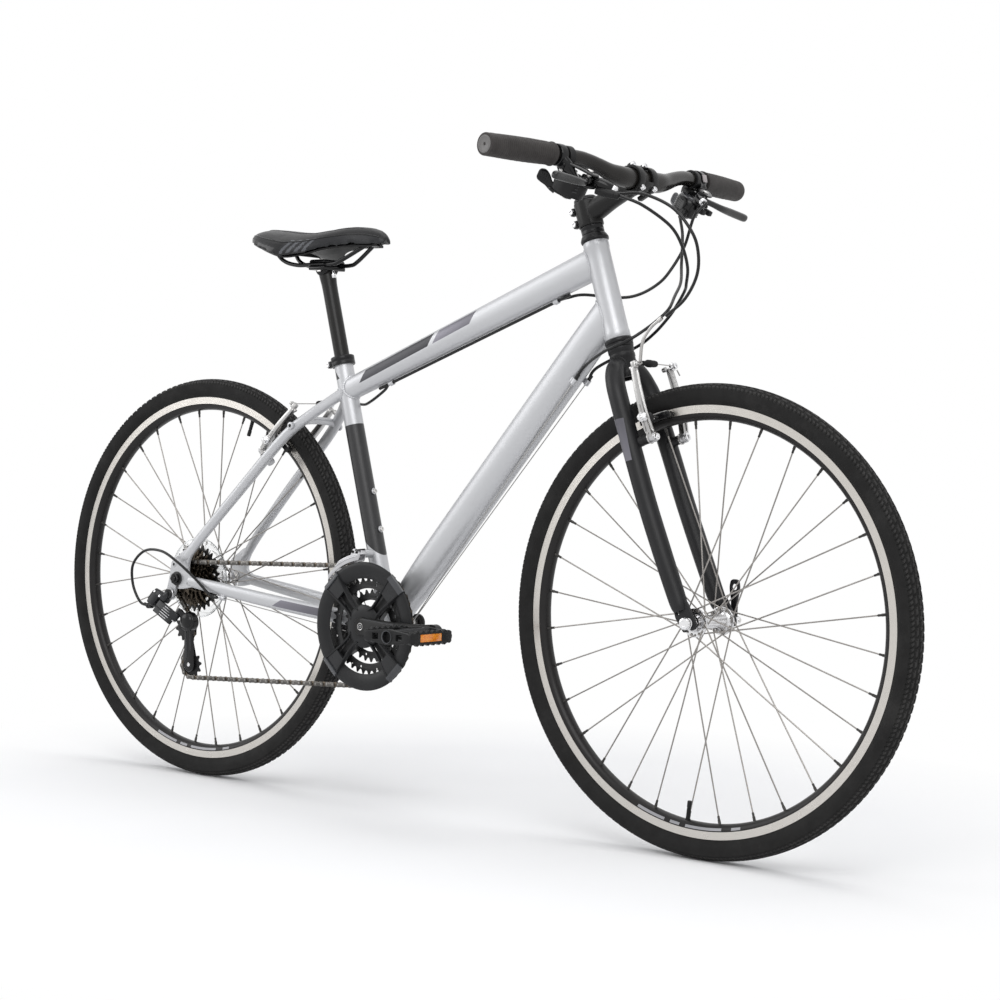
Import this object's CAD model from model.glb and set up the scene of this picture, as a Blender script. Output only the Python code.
"""Looks for the commuter bike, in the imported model's own frame.

Sizes are in metres, but mm(), rod() and band() take millimetres.
"""

import math

import bmesh
import bpy
import numpy as np
from mathutils import Matrix, Vector
from mathutils.bvhtree import BVHTree


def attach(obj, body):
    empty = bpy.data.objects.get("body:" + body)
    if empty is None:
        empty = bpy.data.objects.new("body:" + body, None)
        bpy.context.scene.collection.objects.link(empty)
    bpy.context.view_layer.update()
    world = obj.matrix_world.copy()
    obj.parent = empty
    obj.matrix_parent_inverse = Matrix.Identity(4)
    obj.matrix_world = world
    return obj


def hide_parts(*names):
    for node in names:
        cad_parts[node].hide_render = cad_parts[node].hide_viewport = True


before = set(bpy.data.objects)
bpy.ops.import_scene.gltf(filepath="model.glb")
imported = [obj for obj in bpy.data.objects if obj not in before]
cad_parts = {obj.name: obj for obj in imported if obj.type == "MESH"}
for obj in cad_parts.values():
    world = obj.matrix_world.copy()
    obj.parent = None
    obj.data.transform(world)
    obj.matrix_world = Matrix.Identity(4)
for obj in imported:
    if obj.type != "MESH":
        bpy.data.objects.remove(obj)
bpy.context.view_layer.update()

# Reference points, as in the part
ACROSS = Vector((0, 1, 0))
UP = Vector((0, 0, 1))
WHEELBASE = 1.053
AXLE_HEIGHT = 0.348
REAR_AXLE = Vector((-WHEELBASE / 2, 0, AXLE_HEIGHT))
FRONT_AXLE = Vector((WHEELBASE / 2, 0, AXLE_HEIGHT))
BB_DROP = 0.051
CHAINSTAY = 0.433
BB = REAR_AXLE + Vector((math.sqrt(CHAINSTAY ** 2 - BB_DROP ** 2), 0, -BB_DROP))
HEAD_ANGLE = math.radians(71.8)
SEAT_ANGLE = math.radians(74.4)
SEAT_DIR = Vector((-math.cos(SEAT_ANGLE), 0, math.sin(SEAT_ANGLE)))
SEAT_AHEAD = Vector((math.sin(SEAT_ANGLE), 0, math.cos(SEAT_ANGLE)))
STEER_DIR = Vector((-math.cos(HEAD_ANGLE), 0, math.sin(HEAD_ANGLE)))
STEER_FWD = Vector((math.sin(HEAD_ANGLE), 0, math.cos(HEAD_ANGLE)))
FORK_RAKE = 0.040
STEER_FOOT = FRONT_AXLE - STEER_FWD * FORK_RAKE
HEAD_LOW = 0.447
HEAD_HIGH = 0.602


def on_steer(height, ahead=0.0, y=0.0):
    return STEER_FOOT + STEER_DIR * height + STEER_FWD * ahead + ACROSS * y


def on_seat(height, ahead=0.0, y=0.0):
    return BB + SEAT_DIR * height + SEAT_AHEAD * ahead + ACROSS * y


SEAT_CLUSTER = on_seat(0.389)
STAY_LINE = (SEAT_CLUSTER - REAR_AXLE).normalized()
STAY_NORMAL = Vector((-STAY_LINE.z, 0, STAY_LINE.x))
HEAD_JOIN = on_steer(0.49346)
DOWN_LINE = (HEAD_JOIN - BB).normalized()
DOWN_NORMAL = Vector((-DOWN_LINE.z, 0, DOWN_LINE.x))
CHAIN_LINE = (REAR_AXLE - BB).normalized()
CHAIN_UP = Vector((CHAIN_LINE.z, 0, -CHAIN_LINE.x))
TOP_REAR = on_seat(0.396)
TOP_FRONT = on_steer(0.572)
TOP_LINE = (TOP_FRONT - TOP_REAR).normalized()
TOP_UP = Vector((-TOP_LINE.z, 0, TOP_LINE.x))
CLIP_SHARES = (0.172, 0.824)
ARM_PIVOT = 0.2785
STUD_OUT = 0.040


def on_stay(reach, above=0.0, y=0.0):
    return REAR_AXLE + STAY_LINE * reach + STAY_NORMAL * above + ACROSS * y


def on_down(reach, above=0.0, y=0.0):
    return BB + DOWN_LINE * reach + DOWN_NORMAL * above + ACROSS * y


def on_chainstay(share, y=0.0, above=0.0):
    return BB.lerp(REAR_AXLE, share) + CHAIN_UP * above + ACROSS * y


REAR_STOP = on_chainstay(0.745, -0.0675, -0.0140)
CHANGER_BOSS = on_seat(0.1195)


def under_top(share):
    """A cable's place under the top tube, by share of the way from the seat tube to the head tube."""
    depth = 0.037 + 0.012 * share
    return TOP_REAR.lerp(TOP_FRONT, share) - TOP_UP * (depth / 2 + 0.0032)


# Materials


class Nodes:
    """A short hand for a material's node tree."""

    def __init__(self, name, colour, rough, metal=0.0, coat=0.0, coat_rough=0.1, spec=0.5):
        self.material = bpy.data.materials.new(name)
        self.material.use_nodes = True
        self.tree = self.material.node_tree
        self.shader = self.tree.nodes["Principled BSDF"]
        self.shader.inputs["Base Color"].default_value = (*colour, 1)
        self.shader.inputs["Roughness"].default_value = rough
        self.shader.inputs["Metallic"].default_value = metal
        self.shader.inputs["Coat Weight"].default_value = coat
        self.shader.inputs["Coat Roughness"].default_value = coat_rough
        self.shader.inputs["Specular IOR Level"].default_value = spec
        self.place = self.node("TexCoord").outputs["Object"]

    def node(self, kind):
        return self.tree.nodes.new("ShaderNode" + kind)

    def link(self, source, target):
        self.tree.links.new(source, target)

    def math(self, operation, a, b=0.0):
        node = self.node("Math")
        node.operation = operation
        for socket, value in zip(node.inputs, (a, b)):
            if isinstance(value, (int, float)):
                socket.default_value = value
            else:
                self.link(value, socket)
        return node.outputs[0]

    def noise(self, scale, detail, rough=0.55):
        node = self.node("TexNoise")
        node.inputs["Scale"].default_value = scale
        node.inputs["Detail"].default_value = detail
        node.inputs["Roughness"].default_value = rough
        self.link(self.place, node.inputs["Vector"])
        return node.outputs["Fac"]

    def cells(self, scale, feature="F1"):
        node = self.node("TexVoronoi")
        node.feature = feature
        node.inputs["Scale"].default_value = scale
        self.link(self.place, node.inputs["Vector"])
        return node.outputs["Distance"]

    def dot(self, direction):
        node = self.node("VectorMath")
        node.operation = "DOT_PRODUCT"
        node.inputs[1].default_value = tuple(direction)
        self.link(self.place, node.inputs[0])
        return node.outputs["Value"]

    def away(self, centre, flatten=ACROSS):
        """The distance from an axis through centre, along flatten."""
        shift = self.node("VectorMath")
        shift.operation = "SUBTRACT"
        shift.inputs[1].default_value = tuple(centre)
        self.link(self.place, shift.inputs[0])
        keep = self.node("VectorMath")
        keep.operation = "MULTIPLY"
        keep.inputs[1].default_value = tuple(1 - abs(c) for c in flatten)
        self.link(shift.outputs[0], keep.inputs[0])
        length = self.node("VectorMath")
        length.operation = "LENGTH"
        self.link(keep.outputs[0], length.inputs[0])
        return length.outputs["Value"]

    def above(self, value, low):
        return self.math("GREATER_THAN", value, low)

    def below(self, value, high):
        return self.math("LESS_THAN", value, high)

    def size(self, value):
        return self.math("ABSOLUTE", value)

    def plus(self, a, b):
        return self.math("ADD", a, b)

    def minus(self, a, b):
        return self.math("SUBTRACT", a, b)

    def times(self, a, b):
        return self.math("MULTIPLY", a, b)

    def ramp(self, value, low, high, start=0.0, end=1.0):
        node = self.node("MapRange")
        for key, number in (("From Min", low), ("From Max", high), ("To Min", start), ("To Max", end)):
            node.inputs[key].default_value = number
        self.link(value, node.inputs["Value"])
        return node.outputs["Result"]

    def every(self, *masks):
        total = masks[0]
        for mask in masks[1:]:
            total = self.times(total, mask)
        return total

    def mix(self, factor, one, two):
        node = self.node("Mix")
        node.data_type = "RGBA"
        for socket, value in ((node.inputs[6], one), (node.inputs[7], two)):
            if isinstance(value, tuple):
                socket.default_value = (*value, 1)
            else:
                self.link(value, socket)
        if isinstance(factor, (int, float)):
            node.inputs[0].default_value = factor
        else:
            self.link(factor, node.inputs[0])
        return node.outputs[2]

    def colour(self, value):
        self.link(value, self.shader.inputs["Base Color"])

    def roughness(self, value):
        self.link(value, self.shader.inputs["Roughness"])

    def bump(self, height, strength, distance):
        node = self.node("Bump")
        node.inputs["Strength"].default_value = strength
        node.inputs["Distance"].default_value = distance
        self.link(height, node.inputs["Height"])
        last = self.shader.inputs["Normal"]
        if last.is_linked:
            self.link(last.links[0].from_socket, node.inputs["Normal"])
        self.link(node.outputs["Normal"], last)


def shade(colour, factor):
    return tuple(min(1.0, c * factor) for c in colour)


def worn(name, colour, rough, metal, coat, mottle, grain, relief, spread, **more):
    """A material with soft colour variation, uneven gloss and a fine surface grain."""
    nodes = Nodes(name, colour, rough, metal, coat, **more)
    cloud = nodes.noise(38.0, 4.0)
    nodes.colour(nodes.mix(nodes.ramp(cloud, 0.3, 0.7), shade(colour, 1 - mottle), shade(colour, 1 + mottle)))
    fine = nodes.noise(grain, 2.0)
    smear = nodes.noise(90.0, 5.0, 0.65)
    uneven = nodes.plus(nodes.times(smear, 0.7), nodes.times(fine, 0.3))
    nodes.roughness(nodes.ramp(uneven, 0.25, 0.75, max(0.03, rough - spread), min(1.0, rough + spread)))
    nodes.bump(fine, 0.5, relief)
    return nodes


SILVER = (0.50, 0.505, 0.52)
CHARCOAL = (0.050, 0.050, 0.056)
MAUVE = (0.165, 0.160, 0.185)
MATTE = (0.0095, 0.0095, 0.0105)

SLEEVE_SLOPE = 1.14
SLEEVE_LOW = 0.1490
SLEEVE_HIGH = 0.3360
PATCH_EDGE = 0.2290


def frame_paint():
    """Satin silver with metal flake, and the panels, sleeve and fade painted on it."""
    nodes = worn("silver_frame_paint", SILVER, 0.41, 0.55, 0.12, 0.010, 2600.0, 0.000003, 0.02,
                 coat_rough=0.30)
    base = nodes.shader.inputs["Base Color"].links[0].from_socket
    flake = nodes.cells(3200.0)
    base = nodes.mix(nodes.ramp(flake, 0.1, 0.6, 0.05, 0.0), base, (0.85, 0.85, 0.87))
    grain = nodes.ramp(nodes.noise(420.0, 2.0), 0.35, 0.65, 0.0, 1.0)
    y = nodes.dot(ACROSS)
    outside = nodes.above(nodes.size(y), 0.0095)

    def along(origin, direction):
        return nodes.minus(nodes.dot(direction), origin.dot(direction))

    def between(value, low, high):
        return nodes.every(nodes.above(value, low), nodes.below(value, high))

    def near(value, middle, full, gone):
        """1 as far as full from the middle, 0 from gone on."""
        return nodes.ramp(nodes.size(nodes.minus(value, middle)), full, gone, 1.0, 0.0)

    # two slanted panels on each side of the top tube
    reach, lift = along(TOP_REAR, TOP_LINE), along(TOP_REAR, TOP_UP)
    slant = nodes.minus(reach, nodes.times(lift, 1.15))
    band = between(nodes.minus(lift, nodes.times(reach, 0.014)), -0.0035, 0.0125)
    for low, high, tint in ((0.044, 0.200, CHARCOAL), (0.211, 0.292, MAUVE)):
        mask = nodes.every(between(slant, low, high), band, outside)
        base = nodes.mix(mask, base, nodes.mix(nodes.ramp(reach, low, high), shade(tint, 1.25),
                                               shade(tint, 0.8)))
    # the black sleeve on the seat tube, and the patch under its collar
    seat_reach, seat_ahead = along(BB, SEAT_DIR), along(BB, SEAT_AHEAD)
    near_seat = nodes.every(between(seat_ahead, -0.019, 0.0175), nodes.below(nodes.size(y), 0.018))
    bend = nodes.times(nodes.plus(seat_ahead, 0.016), SLEEVE_SLOPE)
    low_edge = nodes.plus(seat_reach, bend)
    sleeve = nodes.every(nodes.above(low_edge, SLEEVE_LOW), nodes.below(seat_reach, SLEEVE_HIGH), near_seat)
    patch = nodes.every(between(seat_reach, 0.4160, 0.4395),
                        nodes.below(nodes.plus(seat_ahead, nodes.times(seat_reach, 0.55)), PATCH_EDGE),
                        near_seat)
    sleeve = nodes.math("MAXIMUM", sleeve, patch)
    base = nodes.mix(sleeve, base, nodes.mix(grain, MATTE, shade(MATTE, 1.7)))
    # a smoky fade where the down tube nears the bottom bracket
    down_reach = along(BB, DOWN_LINE)
    down_lift = along(BB, DOWN_NORMAL)
    near_down = between(down_lift, -0.034, 0.034)
    smoke = nodes.every(near(down_reach, 0.075, 0.004, 0.028), near(down_lift, 0.012, 0.003, 0.016),
                        near_down, nodes.above(seat_ahead, 0.0165))
    base = nodes.mix(nodes.times(smoke, 0.9), base, (0.022, 0.022, 0.026))
    # one panel on the outer face of each chainstay
    stay = along(BB, CHAIN_LINE)
    stay_up = along(BB, CHAIN_UP)
    side = nodes.above(nodes.size(y), 0.040)
    leaning = nodes.plus(stay, nodes.times(stay_up, 1.3))
    panel = nodes.every(between(leaning, 0.098, 0.201), between(stay_up, -0.0062, 0.0068), side)
    base = nodes.mix(panel, base, nodes.mix(nodes.ramp(stay, 0.09, 0.22), shade(MAUVE, 0.65),
                                            shade(MAUVE, 1.3)))
    nodes.colour(base)
    nodes.link(nodes.times(nodes.minus(1.0, sleeve), 0.55), nodes.shader.inputs["Metallic"])
    return nodes.material


def fork_paint():
    """Matte black with one purple-grey panel on the outside of each blade."""
    nodes = worn("matte_black_paint", MATTE, 0.42, 0.0, 0.0, 0.16, 1500.0, 0.00001, 0.05, spec=0.30)
    base = nodes.shader.inputs["Base Color"].links[0].from_socket
    reach = nodes.minus(nodes.dot(STEER_DIR), STEER_FOOT.dot(STEER_DIR))
    ahead = nodes.minus(nodes.dot(STEER_FWD), STEER_FOOT.dot(STEER_FWD))
    y = nodes.size(nodes.dot((0, 1, 0)))
    lean = nodes.plus(reach, nodes.times(ahead, 0.10))
    mask = nodes.every(nodes.above(lean, 0.2545), nodes.below(lean, 0.319), nodes.above(y, 0.0400),
                       nodes.above(ahead, -0.0200), nodes.below(ahead, 0.0165))
    nodes.colour(nodes.mix(mask, base, nodes.mix(nodes.ramp(reach, 0.25, 0.31), MAUVE, shade(MAUVE, 0.6))))
    return nodes.material


def brushed(name, centre):
    """Machined metal with rings round an axis across the bike."""
    colour, rough = (0.60, 0.575, 0.54), 0.30
    nodes = Nodes(name, colour, rough, 1.0)
    away = nodes.away(centre)
    rings = nodes.node("TexNoise")
    rings.noise_dimensions = "1D"
    rings.inputs["Scale"].default_value = 2600.0
    rings.inputs["Detail"].default_value = 3.0
    nodes.link(away, rings.inputs["W"])
    cloud = nodes.noise(60.0, 3.0)
    nodes.colour(nodes.mix(nodes.ramp(rings.outputs["Fac"], 0.3, 0.7), shade(colour, 0.82),
                           shade(colour, 1.12)))
    nodes.roughness(nodes.ramp(cloud, 0.3, 0.7, rough - 0.06, rough + 0.08))
    nodes.bump(rings.outputs["Fac"], 0.35, 0.00004)
    return nodes.material


def rubber(name, colour, rough, grain=700.0):
    nodes = worn(name, colour, rough, 0.0, 0.0, 0.22, grain, 0.00006, 0.10, spec=0.16)
    dust = nodes.noise(14.0, 6.0, 0.7)
    base = nodes.shader.inputs["Base Color"].links[0].from_socket
    nodes.colour(nodes.mix(nodes.ramp(dust, 0.55, 0.8, 0.0, 0.25), base, (0.07, 0.068, 0.065)))
    return nodes.material


def vinyl(name, colour, rough, pore=950.0):
    """Pebbled vinyl: small raised cells with soft sheen."""
    nodes = worn(name, colour, rough, 0.0, 0.0, 0.14, 1600.0, 0.00002, 0.07, spec=0.24)
    pebble = nodes.cells(pore, "SMOOTH_F1")
    nodes.bump(pebble, 0.55, 0.00012)
    base = nodes.shader.inputs["Base Color"].links[0].from_socket
    nodes.colour(nodes.mix(nodes.ramp(pebble, 0.0, 0.7, 0.0, 0.45), base, shade(colour, 0.55)))
    nodes.shader.inputs["Sheen Weight"].default_value = 0.06
    return nodes.material


def clear_plastic():
    nodes = worn("clear_disc", (0.96, 0.97, 0.975), 0.06, 0.0, 0.0, 0.01, 400.0, 0.000005, 0.03)
    nodes.shader.inputs["Transmission Weight"].default_value = 0.97
    nodes.shader.inputs["IOR"].default_value = 1.45
    return nodes.material


def amber():
    """Moulded reflector plastic: rows of small prisms under a clear face."""
    nodes = Nodes("amber_reflector", (0.80, 0.27, 0.012), 0.16, 0.0, 0.6, 0.05)
    prism = nodes.cells(420.0)
    nodes.colour(nodes.mix(nodes.ramp(prism, 0.0, 0.65), (0.86, 0.36, 0.018), (0.66, 0.17, 0.006)))
    nodes.bump(prism, 0.4, 0.0004)
    nodes.shader.inputs["Emission Color"].default_value = (0.9, 0.26, 0.01, 1)
    nodes.shader.inputs["Emission Strength"].default_value = 0.03
    return nodes.material


def strand(name, colour, rough):
    """Twisted steel strands: a slanted ripple along the wire."""
    nodes = Nodes(name, colour, rough, 1.0)
    wave = nodes.node("TexWave")
    wave.bands_direction = "DIAGONAL"
    wave.inputs["Scale"].default_value = 260.0
    nodes.link(nodes.place, wave.inputs["Vector"])
    nodes.colour(nodes.mix(wave.outputs["Fac"], shade(colour, 0.55), shade(colour, 1.15)))
    nodes.bump(wave.outputs["Fac"], 0.5, 0.0002)
    return nodes.material


DULL = 0.22


def steel(name, colour, rough, spread, mottle, grain=1200.0, metal=1.0, relief=0.00002):
    return worn(name, colour, rough, metal, 0.0, mottle, grain, relief, spread).material


def plastic(name, colour, rough, grain=1500.0, relief=0.00004, coat=0.0, mottle=0.12):
    return worn(name, colour, rough, 0.0, coat, mottle, grain, relief, 0.08, spec=DULL).material


M = {
    "frame": frame_paint(),
    "fork": fork_paint(),
    "matte": plastic("satin_black_paint", (0.010, 0.0098, 0.0098), 0.36, 1400.0, 0.00001, 0.06),
    "bar": worn("bar_paint", (0.0135, 0.0120, 0.0108), 0.27, 0.20, 0.06, 0.08, 1800.0, 0.000005, 0.04,
                spec=0.3).material,
    "anodised": worn("black_anodised", (0.012, 0.012, 0.013), 0.32, 0.25, 0.0, 0.14, 2000.0, 0.00001, 0.06,
                     spec=0.3).material,
    "rim": worn("rim_black", (0.011, 0.010, 0.010), 0.38, 0.1, 0.06, 0.12, 1700.0, 0.00001, 0.05,
                spec=0.25).material,
    "rim_block": plastic("rim_panel_grey", (0.30, 0.30, 0.315), 0.30, 1700.0, 0.00001, 0.2, 0.06),
    "front_track": brushed("front_track_machined", FRONT_AXLE),
    "rear_track": brushed("rear_track_machined", REAR_AXLE),
    "chrome": steel("chrome", (0.78, 0.78, 0.79), 0.13, 0.05, 0.06, 900.0),
    "alloy": steel("polished_alloy", (0.70, 0.70, 0.71), 0.24, 0.08, 0.08),
    "cast": steel("cast_alloy", (0.52, 0.52, 0.53), 0.36, 0.10, 0.12, 800.0, 0.9, 0.00004),
    "stainless": steel("stainless", (0.62, 0.61, 0.60), 0.22, 0.08, 0.10, 1500.0),
    "bronze": steel("oiled_steel", (0.085, 0.070, 0.054), 0.28, 0.12, 0.35, 500.0, 0.95, 0.00004),
    "dark_steel": steel("blackened_steel", (0.032, 0.031, 0.030), 0.36, 0.10, 0.22, 700.0, 0.8),
    "ring_black": steel("ring_black", (0.014, 0.014, 0.0145), 0.40, 0.08, 0.16, 900.0, 0.3),
    "chain": steel("chain_plates", (0.118, 0.113, 0.107), 0.33, 0.12, 0.28, 600.0, 0.95, 0.00005),
    "pin": steel("chain_pins", (0.25, 0.24, 0.225), 0.30, 0.10, 0.20, 900.0),
    "spoke": steel("spoke_steel", (0.30, 0.285, 0.27), 0.30, 0.06, 0.08, 1500.0),
    "nipple": steel("black_nipple", (0.040, 0.038, 0.036), 0.34, 0.06, 0.08, 1500.0, 0.7),
    "changer": steel("changer_alloy", (0.50, 0.50, 0.515), 0.30, 0.08, 0.08, 1500.0, 0.9, 0.00001),
    "guard_edge": plastic("guard_bevel", (0.050, 0.052, 0.057), 0.20, 1300.0, 0.00001, 0.5),
    "tread_dark": plastic("pedal_tray", (0.0065, 0.0065, 0.0068), 0.62, 900.0, 0.00004),
    "steel_grey": plastic("dark_grey_moulding", (0.017, 0.0173, 0.019), 0.32, 1300.0, 0.00001, 0.08),
    "plastic": plastic("moulded_black", (0.011, 0.011, 0.0115), 0.46),
    "gloss": plastic("gloss_black", (0.006, 0.006, 0.0066), 0.16, 900.0, 0.00001, 0.14),
    "glossgrey": plastic("gloss_grey", (0.045, 0.046, 0.051), 0.22, 900.0, 0.00001, 0.4),
    "guard": plastic("guard_charcoal", (0.0145, 0.0148, 0.0158), 0.42, 1300.0, 0.00005),
    "guard_face": plastic("guard_panel", (0.019, 0.0195, 0.021), 0.30, 1300.0, 0.00003, 0.15),
    "housing": plastic("cable_housing", (0.008, 0.008, 0.0085), 0.28, 2200.0, 0.00001, 0.2),
    "boot": rubber("boot_rubber", (0.012, 0.012, 0.0125), 0.62),
    "tread": rubber("tread_rubber", (0.031, 0.030, 0.0295), 0.66, 480.0),
    "tyre": rubber("tyre_rubber", (0.0125, 0.0122, 0.0120), 0.70, 480.0),
    "pad": rubber("brake_pad", (0.013, 0.013, 0.0135), 0.66),
    "grip": rubber("grip_rubber", (0.043, 0.0395, 0.038), 0.56, 520.0),
    "grip_inlay": rubber("grip_inlay", (0.105, 0.098, 0.096), 0.66, 900.0),
    "grip_end": plastic("grip_end", (0.160, 0.155, 0.152), 0.40),
    "vinyl": vinyl("saddle_vinyl", (0.012, 0.012, 0.013), 0.40),
    "vinyl_side": vinyl("saddle_side_panel", (0.020, 0.0205, 0.0225), 0.38, 700.0),
    "vinyl_pale": vinyl("saddle_stripe", (0.105, 0.108, 0.118), 0.36, 700.0),
    "post": plastic("seatpost_black", (0.012, 0.0115, 0.011), 0.32, 1600.0, 0.00001, 0.08),
    "vinyl_gloss": plastic("saddle_gloss_trim", (0.008, 0.008, 0.009), 0.20, 600.0, 0.00002, 0.3),
    "thread": plastic("stitching", (0.050, 0.050, 0.054), 0.65, 3000.0, 0.00010),
    "clear": clear_plastic(),
    "amber": amber(),
    "wire": strand("steel_wire", (0.46, 0.45, 0.44), 0.30),
    "lid": plastic("pod_lid", (0.046, 0.047, 0.049), 0.42, 1300.0),
    "badge": plastic("pale_patch", (0.36, 0.33, 0.33), 0.34, 900.0, 0.00001, 0.2, 0.06),
    "lever": worn("lever_paint", (0.013, 0.013, 0.0135), 0.28, 0.0, 0.2, 0.10, 1800.0, 0.00001, 0.05,
                  spec=0.35).material,
    "arm": steel("brake_arm_alloy", (0.46, 0.455, 0.45), 0.30, 0.08, 0.08, 1400.0, 1.0, 0.00001),
    "noodle": steel("noodle_steel", (0.48, 0.47, 0.46), 0.24, 0.06, 0.08, 1500.0),
}

# Mesh building


def show(thing):
    bpy.context.scene.collection.objects.link(thing)


def axes(forward, upright):
    z = forward.normalized()
    if abs(z.dot(upright)) > 0.999:
        upright = UP if abs(z.dot(UP)) < 0.999 else Vector((1, 0, 0))
    y = (upright - z * upright.dot(z)).normalized()
    return Matrix((y.cross(z), y, z)).transposed().to_4x4()


def placed(origin, forward, upright=ACROSS):
    return Matrix.Translation(origin) @ axes(forward, upright)


def axes_at(origin, x, y, z):
    """A plane's matrix from its origin and three directions."""
    return Matrix.Translation(origin) @ Matrix((x, y, z)).transposed().to_4x4()


def ray_at(angle):
    """A direction square to the axles, turned up from straight ahead."""
    return Vector((math.cos(angle), 0, math.sin(angle)))


def side_plane(origin):
    """Local x to world x, local y to world z, local z towards the chain side."""
    return Matrix.Translation(origin) @ Matrix(((1, 0, 0, 0), (0, 0, -1, 0), (0, 1, 0, 0), (0, 0, 0, 1)))


def smooth(points, steps, closed=False):
    """A Catmull-Rom run through points of any width."""
    points = [np.array(p, float) for p in points]
    if closed:
        padded = [points[-1]] + points + points[:2]
    else:
        padded = [2 * points[0] - points[1]] + points + [2 * points[-1] - points[-2]]
    run = []
    for a, b, c, d in zip(padded, padded[1:], padded[2:], padded[3:]):
        for i in range(steps):
            t = i / steps
            run.append(0.5 * (2 * b + (c - a) * t + (2 * a - 5 * b + 4 * c - d) * t ** 2
                              + (3 * b - a - 3 * c + d) * t ** 3))
    if not closed:
        run.append(points[-1])
    return run


def curve_of(points, steps=7, closed=False):
    return [Vector(p) for p in smooth(points, steps, closed)]


def pairs_of(run):
    return zip(run, run[1:])


def followed(run, upright):
    """Each station of a run with the matrix that follows it; a station starts with its place."""
    last = len(run) - 1
    for i, station in enumerate(run):
        way = Vector(run[min(i + 1, last)][:3]) - Vector(run[max(i - 1, 0)][:3])
        yield station, placed(Vector(station[:3]), way, upright)


def mm(*points):
    """Points written in millimetres."""
    return [tuple(round(value / 1000, 8) for value in point) for point in points]


def rod(radius, low, high, bore=0):
    """A straight profile, in millimetres."""
    return mm((bore, low), (radius, low), (radius, high), (bore, high))


def band(bore, radius, low, high, narrow, drop):
    """A profile with both of its outer edges cut, in millimetres."""
    return mm((bore, low), (radius - narrow, low), (radius, low + drop), (radius, high - drop),
              (radius - narrow, high), (bore, high))


def circle(radius, sides, centre=(0.0, 0.0), phase=0.0):
    step = math.tau / sides
    return [(centre[0] + radius * math.cos(phase + step * i), centre[1] + radius * math.sin(phase + step * i))
            for i in range(sides)]


def arc(radius, start, end, count):
    step = (end - start) / (count - 1)
    return [(radius * math.cos(start + step * i), radius * math.sin(start + step * i)) for i in range(count)]


def degree_arc(radius, start, end, count):
    return arc(radius, math.radians(start), math.radians(end), count)


def turn_of(a, b, c):
    return (b[0] - a[0]) * (c[1] - a[1]) - (b[1] - a[1]) * (c[0] - a[0])


def hull(circles, sides):
    """The outline stretched round circles given as (x, y, radius)."""
    points = sorted(p for x, y, radius in circles for p in circle(radius, sides, (x, y), 0.1))
    outline = []
    for run in (points, points[::-1]):
        half = []
        for p in run:
            while len(half) > 1 and turn_of(half[-2], half[-1], p) <= 0:
                half.pop()
            half.append(p)
        outline += half[:-1]
    return outline


def rounded(corners, radius, steps):
    """A polygon with every corner rounded; radius may be one number or one for each corner."""
    count = len(corners)
    radii = radius if isinstance(radius, (list, tuple)) else [radius] * count
    outline = []
    for i, at in enumerate(corners):
        at = np.array(at, float)
        back = np.array(corners[i - 1], float) - at
        ahead = np.array(corners[(i + 1) % count], float) - at
        reach = min(radii[i], np.linalg.norm(back) * 0.49, np.linalg.norm(ahead) * 0.49)
        one = at + back / np.linalg.norm(back) * reach
        two = at + ahead / np.linalg.norm(ahead) * reach
        for k in range(steps + 1):
            t = k / steps
            outline.append(tuple(one * (1 - t) ** 2 + at * 2 * t * (1 - t) + two * t ** 2))
    return outline


def oval(height, width, sides, power=1.0):
    ring = []
    for i in range(sides):
        angle = math.tau * (i + 0.5) / sides
        c, s = math.cos(angle), math.sin(angle)
        ring.append((math.copysign(abs(c) ** power, c) * height / 2,
                     math.copysign(abs(s) ** power, s) * width / 2, 0))
    return ring


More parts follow.
